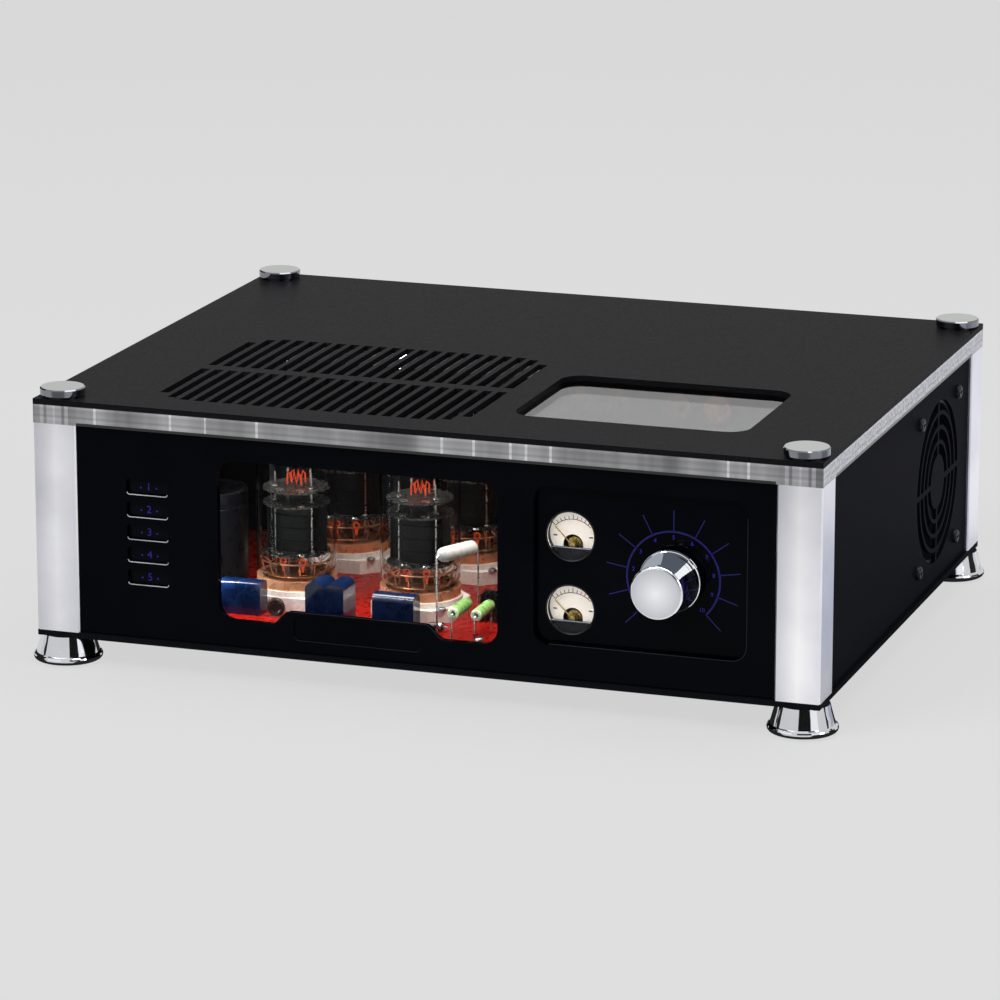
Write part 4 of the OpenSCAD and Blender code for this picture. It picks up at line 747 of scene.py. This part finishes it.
HEAD_R, HEAD_H, SHANK_R, SHANK_TIP = 3.75, 2.4, 2.0, 1
screws_low, screws_high = box_mm("fan_screws")
SIDE_X = box_mm("right_panel")[1].x
shank = screws_low.x - SIDE_X
for y in (screws_low.y + HEAD_R, screws_high.y - HEAD_R):
    for z in (screws_low.z + HEAD_R, screws_high.z - HEAD_R):
        screw(HEAD_R, HEAD_H, siding(SIDE_X, y, z))
        turned([(0, shank), (SHANK_R, shank + SHANK_TIP), (SHANK_R, 0), (0, 0)], siding(SIDE_X, y, z), 16)
piece("fan_screw_set", "steel_black_oxide", stands_for=("fan_screws",))

board_low, board_high = box_mm("circuit_board")
BOARD_TOP, PILLAR_IN, PILLAR_SCREW = board_high.z, 6.0, (2.8, 1.8)
SOCKET_CORNER, SOCKET_TOP, SOCKET_SCREW = 18.5, 36.5, (2.4, 1.5)
pillars = corners(board_low, board_high, PILLAR_IN)
for x, y in pillars:
    screw(*PILLAR_SCREW, standing(x, y, BOARD_TOP))
for x, y in TUBES:
    for side in SIDES:
        screw(*SOCKET_SCREW, standing(x + side * SOCKET_CORNER, y - side * SOCKET_CORNER, SOCKET_TOP))
piece("board_screw_set", "steel_zinc_plated")

BASE_Z, clamp_mid = box_mm("base_plate")[0].z, centre("transformer_clamp")
BASE_SCREW, CORE_SCREW, CORES_X, CORES_Y = (3.0, 1.8), (3.2, 2.0), (-163, -97, -73, -7), (62, 108)
WASHER = ((0, 0), (9, 0), (9, 1.2), (0, 1.2))
HEX_NUT = ((0, 1.2), (6.5, 1.2), (6.5, 5.8), (5.6, 6.4), (0, 6.4))
below = standing(0, 0, BASE_Z) @ Matrix.Rotation(math.pi, 4, "X")
for places, size in ((pillars, BASE_SCREW), ([(x, y) for x in CORES_X for y in CORES_Y], CORE_SCREW)):
    for x, y in places:
        screw(*size, standing(x, y, 0) @ below)
for profile, steps in ((WASHER, 32), (HEX_NUT, 6)):
    turned(profile, standing(clamp_mid.x, clamp_mid.y, 0) @ below, steps)
piece("underside_screw_set", "steel_zinc_plated")
print("screws set")

# %% [markdown]
# Two green power resistors lie on their leads over the board. Each is a ceramic tube with a green glaze; the ends stay
# bare and pale, with the bore showing. The white pill-shaped resistor is glazed all over. Both stand for the plain
# solids and keep their places: the leads leave at the ends, bend and go down into the board.

# %% Resistors
for row in (("ceramic_glazed_green", 3.0, (0.22, 0.4), ("5f8848", "82ad66"), 0.02),
            ("ceramic_bare_pale", 2.0, (0.5, 0.7), ("c0d2a4", "dcebc4"), 0.01),
            ("ceramic_glazed_white", 3.0, (0.22, 0.38), ("929290", "9e9e9c"), 0.004),
            ("copper_tinned_wire", 1.0, (0.2, 0.35), ("b8babe", "d4d6d9"), 0, 1)):
    grain(*row)
LEAD_R, LEAD_BEND, LEAD_IN, WELD = 0.5, 1.6, 7, 1e-7


def leads(reach, drop, place, slot):
    """Two leads from the body's ends: straight out, round a bend, and down."""
    for out in SIDES:
        arc = [(out * (reach - LEAD_BEND + x), 0, z - LEAD_BEND) for x, z in circle(LEAD_BEND, 5, 0, 0, 90, -90)]
        wire([(out * (reach - LEAD_IN), 0, 0), *arc, (out * reach, 0, -drop)], LEAD_R, place, 8, slot)


def lying(x, y, z, turn):
    """Own X axis level, turned about the upright by so many degrees."""
    return standing(x, y, z) @ Matrix.Rotation(math.radians(turn), 4, "Z")


ON_X = Matrix.Rotation(math.pi / 2, 4, "Y")
GREEN_R, GREEN_HALF, GREEN_OUT, BORE_R = 3.25, 11.0, 2.5, 1.3
GLAZE, BARE, WIRE = range(3)
green_low, green_high = box_mm("power_resistors")
green_z, green_y = green_high.z - GREEN_R, (green_low.y + green_high.y) / 2
LIP_R, FACE_R, RIM_AT, GLAZE_AT = 3.05, 2.55, 10.5, 9.6
for x in (green_low.x + GREEN_R, green_high.x - GREEN_R):
    place = lying(x, green_y, green_z, 90)
    turned([(BORE_R, -GREEN_HALF), (BORE_R, GREEN_HALF)], place @ ON_X, 24, BARE)
    for end in (1, -1):
        turned([(BORE_R, end * GREEN_HALF), (FACE_R, end * GREEN_HALF), (LIP_R, end * RIM_AT)], place @ ON_X, 24, BARE)
    turned([(LIP_R, RIM_AT), (GREEN_R, GLAZE_AT), (GREEN_R, -GLAZE_AT), (LIP_R, -RIM_AT)], place @ ON_X, 24, GLAZE)
    leads(GREEN_HALF + GREEN_OUT, green_z - BOARD_TOP, place, WIRE)
bmesh.ops.remove_doubles(bm, verts=bm.verts, dist=WELD)
piece("green_resistor_set", "ceramic_glazed_green ceramic_bare_pale copper_tinned_wire",
      stands_for=("power_resistors",))

PILL_R, PILL_HALF, PILL_OUT, PILL_TURN = 4.0, 9.5, 5.5, 63.0
pill_mid = centre("ceramic_resistor")
pill_z = box_mm("ceramic_resistor")[1].z - PILL_R
place = lying(pill_mid.x, pill_mid.y, pill_z, PILL_TURN)
cap = circle(PILL_R, 8, 0, PILL_HALF, 0, 90)
turned([(r, -h) for r, h in cap[::-1]] + cap, place @ ON_X)
leads(PILL_HALF + PILL_OUT, pill_z - BOARD_TOP, place, 1)
piece("white_resistor", "ceramic_glazed_white copper_tinned_wire", stands_for=("ceramic_resistor",))
print("resistors: 2 green, 1 white")

# %% [markdown]
# Small parts fill the board between the large ones, as on a real one: a dark ring choke on edge with a potted core,
# two diodes with a pale band, a row of small striped resistors and a finned heat sink. Each rests on the board or
# hangs on its leads a little above it. A filter choke stands at the left in a drawn black steel can, with a flange
# below and a rolled edge above.

# %% Small board parts
for row in (("ferrite_pressed", 1.2, (0.4, 0.6), ("19191c", "2a2a2e"), 0.01),
            ("copper_enamelled_dark", 1.0, (0.18, 0.35), ("2c1c18", "4c332a"), 0, 0.5),
            ("epoxy_moulded_black", 1.0, (0.28, 0.45), ("101012", "1a1a1d"), 0.006),
            ("lacquer_baked_tan", 1.5, (0.28, 0.45), ("ac8e64", "c4a67c"), 0.004),
            ("lacquer_band_brown", 1.5, (0.28, 0.45), ("50241a", "643020")),
            ("aluminium_black_anodised", 1.0, (0.25, 0.4), ("0f0f12", "19191c"), 0.004, 0.2)):
    grain(*row)
grain("steel_enamelled_black", 4.0, (0.24, 0.38), ("050507", "08080a"), 0.004, shine=0.12)
FERRITE, ENAMEL, EPOXY, TINNED, TAN, BROWN, ANODISED, ENAMELLED = range(8)

CHOKE_R, CHOKE_TUBE, CHOKE_TURNS, CHOKE_AT, CHOKE_GAP = 3.8, 1.1, 20, (-90, -141), 0.5
WINDING_OUT, WINDING_R, WOUND_FROM, WOUND, PER_TURN, CORE_HALF = 0.3, 0.34, -60, 300, 10, 0.8
choke = facing(*CHOKE_AT, BOARD_TOP + CHOKE_R + CHOKE_TUBE + CHOKE_GAP)
wire(hoop(circle(CHOKE_R, 32)), CHOKE_TUBE, choke, 10, FERRITE)
winding = []
for i in range(CHOKE_TURNS * PER_TURN + 1):
    out, lift = polar(CHOKE_TUBE + WINDING_OUT, 360 * i / PER_TURN)
    winding.append((*polar(CHOKE_R + out, WOUND_FROM + WOUND * i / (CHOKE_TURNS * PER_TURN)), lift))
wire(winding, WINDING_R, choke, 5, ENAMEL)
turned([(0, -CORE_HALF), (CHOKE_R, -CORE_HALF), (CHOKE_R, CORE_HALF), (0, CORE_HALF)], choke, 24, EPOXY)

DIODE = ((0, -4), (2, -4), (2.2, -3.6), (2.2, 3.6), (2, 4), (0, 4))
DIODES_AT, DIODE_Z, DIODE_TURN, DIODE_REACH = ((-5, -146), (-1, -139)), 2.6, 10, 6.4
DIODE_STRIPE = (2.25, 2.3, 1.6, 2.8)
SMALL = ((0, -3.2), (1, -3.2), (1.3, -2.6), (1.1, -1.8), (1.1, 1.8), (1.3, 2.6), (1, 3.2), (0, 3.2))
SMALL_AT, SMALL_COUNT, SMALL_PITCH, SMALL_Z, SMALL_REACH = (-160, -132), 6, 6, 1.8, 5.0
STRIPES_AT, STRIPE_R, STRIPE_HALF = (-1.2, 0, 1.2), (1.12, 1.16), 0.3


def stripe(inner, outer, start, end, place, slot, steps):
    """A painted band round a small part."""
    turned([(inner, start), (outer, start), (outer, end), (inner, end), (inner, start)], place @ ON_X, steps, slot)


for x, y in DIODES_AT:
    body = lying(x, y, BOARD_TOP + DIODE_Z, DIODE_TURN)
    turned(DIODE, body @ ON_X, 20, EPOXY)
    stripe(*DIODE_STRIPE, body, TINNED, 20)
    leads(DIODE_REACH, DIODE_Z, body, TINNED)
for i in range(SMALL_COUNT):
    body = lying(SMALL_AT[0] + SMALL_PITCH * i, SMALL_AT[1], BOARD_TOP + SMALL_Z, 90)
    turned(SMALL, body @ ON_X, 16, TAN)
    for at in STRIPES_AT:
        stripe(*STRIPE_R, at - STRIPE_HALF, at + STRIPE_HALF, body, BROWN, 16)
    leads(SMALL_REACH, SMALL_Z, body, TINNED)

SINK_H, SINK_BACK, SINK_AT = 15, (15, 3, 0.5), (22, -106)
FIN, FIN_AT, FIN_COUNT, FIN_PITCH = (0.9, 8, 0.3), (15.5, -111), 6, 2.6
plate(rounded(*SINK_BACK), SINK_H, standing(*SINK_AT, BOARD_TOP), ANODISED)
for i in range(FIN_COUNT):
    plate(rounded(*FIN), SINK_H, standing(FIN_AT[0] + FIN_PITCH * i, FIN_AT[1], BOARD_TOP), ANODISED)

CAN_R, CAN_H, CAN_AT = 20.0, 55.6, (-145, -95)
CAN_FOOT = ((CAN_R + 2.5, 0), (CAN_R + 2.5, 1), (CAN_R + 1, 1.2), (CAN_R, 2.4))
CAN_HEAD = ((CAN_R, -9), (CAN_R - 0.7, -8.2), (CAN_R, -7.4), (CAN_R, -2), (CAN_R - 0.6, -0.6), (CAN_R - 2, 0),
            (CAN_R - 3.2, -0.8), (0, -0.8))
turned([(0, 0), *CAN_FOOT, *((r, CAN_H + h) for r, h in CAN_HEAD)], standing(*CAN_AT, BOARD_TOP), 48, ENAMELLED)
piece("board_small_parts", "ferrite_pressed copper_enamelled_dark epoxy_moulded_black copper_tinned_wire "
      "lacquer_baked_tan lacquer_band_brown aluminium_black_anodised steel_enamelled_black")
print("small parts on the board")

# %% [markdown]
# The two level meters have a thin black bezel, a printed scale on a cream card and a zero screw in the black mask
# below it. The scale is an arc about the needle's pivot with eleven ticks, the last four in red. It lies on the dial
# as a film, while the bezel is a turned ring in front of the case. The mask's top edge is a strip coloured pale grey,
# a painted highlight.

# %% Meters
grain("ink_printed_dark", INK_CELL, (0.4, 0.6), ("221d1a", "322b27"))
grain("ink_printed_red", INK_CELL, (0.4, 0.6), ("a01a14", "c0281e"))
BLACK, DARK, RED, PAINTED_HIGHLIGHT = range(4)
DIAL_Y, BEZEL_R, BEZEL_W = front_of("meter_dials"), 13.3, 0.5
BEZEL = ((-BEZEL_W, 0), (0, 0), (0, 0.3), (-0.2, 0.5), (-BEZEL_W, 0.3), (-BEZEL_W, 0))
PIVOT_DROP, SCALE_R, SCALE_IN, SCALE_FROM, SCALE_TURN = 5.5, 13.6, 0.975, 45, 90
SCALE_TICKS, RED_FROM, LONG_EVERY = 11, 7, 5
TICK_LONG, TICK_SHORT, METER_TICK_W = 2.4, 1.6, 0.35
DASH_IN, DASH_OUT, DASH_UP, DASH_W = 8.6, 10.6, 4.4, 0.7
MASK_IN, MASK_DROP, MASK_HALF, MASK_W, MASK_T = 2.0, 6.5, 10.4, 0.5, 0.3
ZERO_SCREW, ZERO_DROP = (0.9, 0.4), 9.2
for name in ("meter_case_upper", "meter_case_lower"):
    mid, front = centre(name), front_of(name)
    turned([(BEZEL_R + r, h) for r, h in BEZEL], facing(mid.x, front, mid.z), 64, BLACK)
    pivot = facing(mid.x, DIAL_Y, mid.z - PIVOT_DROP)
    plate(band(SCALE_R, SCALE_R * SCALE_IN, SCALE_FROM, SCALE_TURN), INK, pivot, DARK)
    for i in range(SCALE_TICKS):
        end = SCALE_R + (TICK_SHORT if i % LONG_EVERY else TICK_LONG)
        turn = SCALE_FROM + SCALE_TURN - SCALE_TURN * i / (SCALE_TICKS - 1)
        plate(ray(SCALE_R, end, turn, METER_TICK_W), INK, pivot, RED if i >= RED_FROM else DARK)
    for side in SIDES:
        plate(bar(side * DASH_IN, DASH_UP, side * DASH_OUT, DASH_UP, DASH_W), INK, pivot, DARK)
    screw(*ZERO_SCREW, facing(mid.x, front + MASK_IN, mid.z - ZERO_DROP), BLACK)
    # The pale strip along the mask's top edge is a painted highlight
    plate(bar(-MASK_HALF, 0, MASK_HALF, 0, MASK_W), MASK_T,
          facing(mid.x, front + MASK_IN, mid.z - MASK_DROP), PAINTED_HIGHLIGHT)
piece("meter_trim", "steel_black_oxide ink_printed_dark ink_printed_red acrylic_bevel_polished")
print("meters trimmed")

# %% [markdown]
# On the rear, a coloured washer round each input socket tells left from right, the mains inlet has three tinned
# blades, and two screws hold its flange. The smoothing capacitors show their pressed vents through the lid window.

# %% Rear and inner trim
grain("nylon_moulded_white", 1.0, (0.38, 0.55), ("dedcd5", "eeece7"), 0.006)
grain("aluminium_pressed", 1.5, (0.32, 0.5), ("adafb3", "c5c7cb"), 0.004, 1)
FLANGE_R, FLANGE_Y, INPUTS, INPUT_PITCH = 6.0, 168.6, 5, 24.0
INPUT_WASHER = ((4.25, 0), (5.7, 0), (5.7, 0.7), (5.3, 1.1), (4.25, 1.1), (4.25, 0))
inputs_low, inputs_high = box_mm("input_sockets")
for slot, row_z in enumerate((inputs_low.z + FLANGE_R, inputs_high.z - FLANGE_R)):
    for i in range(INPUTS):
        turned(INPUT_WASHER, backing(inputs_low.x + FLANGE_R + INPUT_PITCH * i, FLANGE_Y, row_z), 32, slot)
piece("input_washers", "abs_moulded_red nylon_moulded_white")

BLADE, BLADE_L, BLADE_IN, BLADES_AT = (2.3, 4.3, 0.5, 3), 12.2, 17, ((-7, -2), (7, -2), (0, 2))
INLET_SCREW, INLET_OUT = (3.0, 1.8), 20
inlet_mid, inlet_back = centre("mains_inlet"), box_mm("mains_inlet")[1].y
for x, z in BLADES_AT:
    plate(rounded(*BLADE), BLADE_L, backing(inlet_mid.x - x, inlet_back - BLADE_IN, inlet_mid.z + z))
for side in SIDES:
    screw(*INLET_SCREW, backing(inlet_mid.x + side * INLET_OUT, inlet_back, inlet_mid.z))
piece("inlet_trim", "copper_tinned_wire")

CAN_CLAMP_R, VENTS, VENT_HALF, VENT_W, VENT_T, VENT_Z = 19.2, (0, 60, 120), 6.5, 0.7, 0.3, 0.45
CAN_TOP = ((0, 0), (13.5, 0), (13.5, 0.35), (9, 0.5), (8.4, 0.25), (7.8, 0.5), (0, 0.5))
cans_low, cans_high = box_mm("smoothing_capacitors")
for x, y in corners(cans_low, cans_high, CAN_CLAMP_R):
    turned(CAN_TOP, standing(x, y, cans_high.z), 40)
    for turn in VENTS:
        plate(ray(-VENT_HALF, VENT_HALF, turn, VENT_W), VENT_T, standing(x, y, cans_high.z + VENT_Z))
piece("can_tops", "aluminium_pressed")
print("rear and inner trim set")

# %% [markdown]
# A pale floor carries the object and fills the picture behind it. For the camera it is mostly self-lit, which keeps it
# even, and for the rest diffuse, which keeps the shadow under the object. Mirrors see less of its own light, so chrome
# gets a darker foot. It lies a hair below the rubber pads, so that no faces coincide.

# %% Floor
PALE, FLOOR_SIDE, FLOOR_DROP, DIRECT_SHARE, MIRROR_SHARE = "dcdcdc", 30.0, 0.2, 0.88, 0.4
bpy.ops.mesh.primitive_plane_add(size=FLOOR_SIDE, location=(0, 0, -FLOOR_DROP * MM))
floor = bpy.context.object
floor.name = "floor"
paper = bpy.data.materials.new("paper_sweep_pale")
tree = blank(paper)
path = add(tree, "LightPath").outputs
direct = add(tree, "Math", {0: path["Is Camera Ray"], 1: path["Is Transmission Ray"]}, operation="MAXIMUM")
direct = add(tree, "Math", {0: direct.outputs["Value"], 1: DIRECT_SHARE}, operation="MULTIPLY")
mirror = add(tree, "Math", {0: path["Is Glossy Ray"], 1: MIRROR_SHARE}, operation="MULTIPLY")
share = add(tree, "Math", {0: direct.outputs["Value"], 1: mirror.outputs["Value"]}, operation="MAXIMUM")
lit = add(tree, "BsdfDiffuse", {"Color": linear(PALE)})
even = add(tree, "Emission", {"Color": linear(PALE), "Strength": 1.0})
both = add(tree, "MixShader", {0: share.outputs["Value"], 1: lit.outputs["BSDF"], 2: even.outputs["Emission"]})
add(tree, "OutputMaterial", {"Surface": both.outputs["Shader"]})
floor.data.materials.append(paper)
print("floor", FLOOR_SIDE, "m wide")

# %% [markdown]
# Soft studio light: the world gives a pale surround, and three panels larger than the object give soft shadow edges
# and long highlights. Three small lamps inside the case light the tubes, because refracting glass lets no lamp's light
# straight through. Chrome shows nothing but its surroundings, so a photographer stands black and white cards round it.
# Here they show in reflections only. The knob's neck would mirror nothing but the black plate it stands on, so three
# small cards lie there, cut as parts of a collar.

# %% Light
SURROUND = 0.35
world = bpy.data.worlds.new("studio")
bpy.context.scene.world = world
tree = blank(world)
path = add(tree, "LightPath").outputs
seen = add(tree, "Math", {0: path["Is Camera Ray"], 1: path["Is Glossy Ray"]}, operation="MAXIMUM")
seen = add(tree, "Math", {0: seen.outputs["Value"], 1: path["Is Transmission Ray"]}, operation="MAXIMUM")
soft = add(tree, "Background", {"Color": linear("ffffff"), "Strength": SURROUND})
pale = add(tree, "Background", {"Color": linear(PALE), "Strength": 1.0})
both = add(tree, "MixShader", {0: seen.outputs["Value"], 1: soft.outputs["Background"],
                               2: pale.outputs["Background"]})
add(tree, "OutputWorld", {"Surface": both.outputs["Shader"]})

MIDDLE, INNER_SPREAD = (0, 0, 0.07), math.radians(110)


def panel(name, at, size, power, colour="ffffff", towards=MIDDLE):
    """A rectangular soft light that points at a place."""
    light = bpy.data.lights.new(name, "AREA")
    light.shape = "RECTANGLE"
    light.size, light.size_y = size
    light.energy = power
    light.color = linear(colour)[:3]
    lamp = placed(name, light)
    lamp.location = at
    lamp.rotation_euler = (Vector(towards) - Vector(at)).to_track_quat("-Z", "Y").to_euler()
    return lamp


def reflector(made, strength, colour):
    """Makes a flat object a card that shows in reflections only, and only on its front."""
    for rays in ("camera", "diffuse", "shadow", "transmission", "volume_scatter"):
        setattr(made, "visible_" + rays, False)
    stock = bpy.data.materials.new(made.name)
    tree = blank(stock)
    side = add(tree, "NewGeometry")
    glow = add(tree, "Emission", {"Color": linear(colour), "Strength": strength})
    clear = add(tree, "BsdfTransparent")
    both = add(tree, "MixShader",
               {0: side.outputs["Backfacing"], 1: glow.outputs["Emission"], 2: clear.outputs["BSDF"]})
    add(tree, "OutputMaterial", {"Surface": both.outputs["Shader"]})
    made.data.materials.append(stock)


def card(name, at, size, strength, colour="ffffff", up=False):
    """A rectangular card that faces the object, or lies on the floor and looks up."""
    bpy.ops.mesh.primitive_plane_add(size=1)
    made = bpy.context.object
    made.name = name
    made.location = at
    made.scale = (*size, 1)
    towards = Vector((0, 0, 1)) if up else Vector(MIDDLE) - Vector(at)
    made.rotation_euler = towards.to_track_quat("Z", "Y").to_euler()
    reflector(made, strength, colour)


CARD_IN, CARD_OUT, CARD_GAP = 17.5, 36.0, 0.3


def collar(name, start, sweep, strength, colour="ffffff"):
    """A card cut as part of a collar that lies round the knob, so that its neck has something to mirror."""
    place = facing(knob_mid.x, PLATE_Y - CARD_GAP, knob_mid.z)
    bm.faces.new(ring([(x, y, 0) for x, y in band(CARD_OUT, CARD_IN, start, sweep)], place))
    reflector(drawn(name), strength, colour)


card("card_black_front", (0.42, -0.75, 0.36), (0.56, 0.5), 0.01)
card("card_black_left", (-1.0, 0.15, 0.4), (1.5, 0.7), 0.02)
card("card_black_right", (1.1, 0.45, 0.4), (0.6, 0.7), 0.02)
card("card_black_under", (0, 0, 0.001), (0.46, 0.36), 0.02, up=True)
card("card_white_front", (-0.75, -1.2, 0.75), (1.1, 0.8), 1.0)
card("card_white_side", (1.2, -0.75, 0.6), (0.6, 0.8), 1.0)
card("card_grey_front", (0.0, -0.95, 0.003), (1.6, 0.55), 0.3, up=True)
card("card_white_foot", (0.15, -0.33, 0.004), (0.3, 0.25), 0.98, up=True)
card("card_blue_side", (0.55, 0.04, 0.003), (0.6, 0.38), 0.62, "d6dcf0", True)
card("card_pale_side", (0.55, 0.5, 0.003), (0.7, 0.52), 1.0, "eeeef4", True)
collar("card_collar_left", 112, 68, 0.5, "dfe6f0")
collar("card_collar_top", 52, 60, 0.2, "b4c0d4")
collar("card_collar_right", 30, 22, 1.0)
panel("key_panel", (-1.3, -2.0, 2.4), (1.6, 1.2), 60)
panel("top_panel", (0.3, 0.4, 2.4), (2.0, 1.6), 30)
panel("side_panel", (2.4, -0.6, 1.2), (1.0, 1.2), 18, "e8ecff")
inner_top = panel("inner_top", (-0.03, -0.138, 0.128), (0.19, 0.03), 0.2, "fff4ea", (-0.03, -0.128, 0))
inner_back = panel("inner_back", (-0.02, -0.06, 0.128), (0.05, 0.03), 0.05, "ffe8d8", (-0.02, -0.06, 0))
inner_strip = panel("inner_strip", (-0.128, -0.148, 0.08), (0.005, 0.07), 0.1, "f4f8ff", (-0.06, -0.08, 0.08))
inner_top.data.spread = INNER_SPREAD
for lamp in (inner_top, inner_back, inner_strip):
    lamp.visible_camera = False
    lamp.visible_transmission = False
inner_back.visible_glossy = False
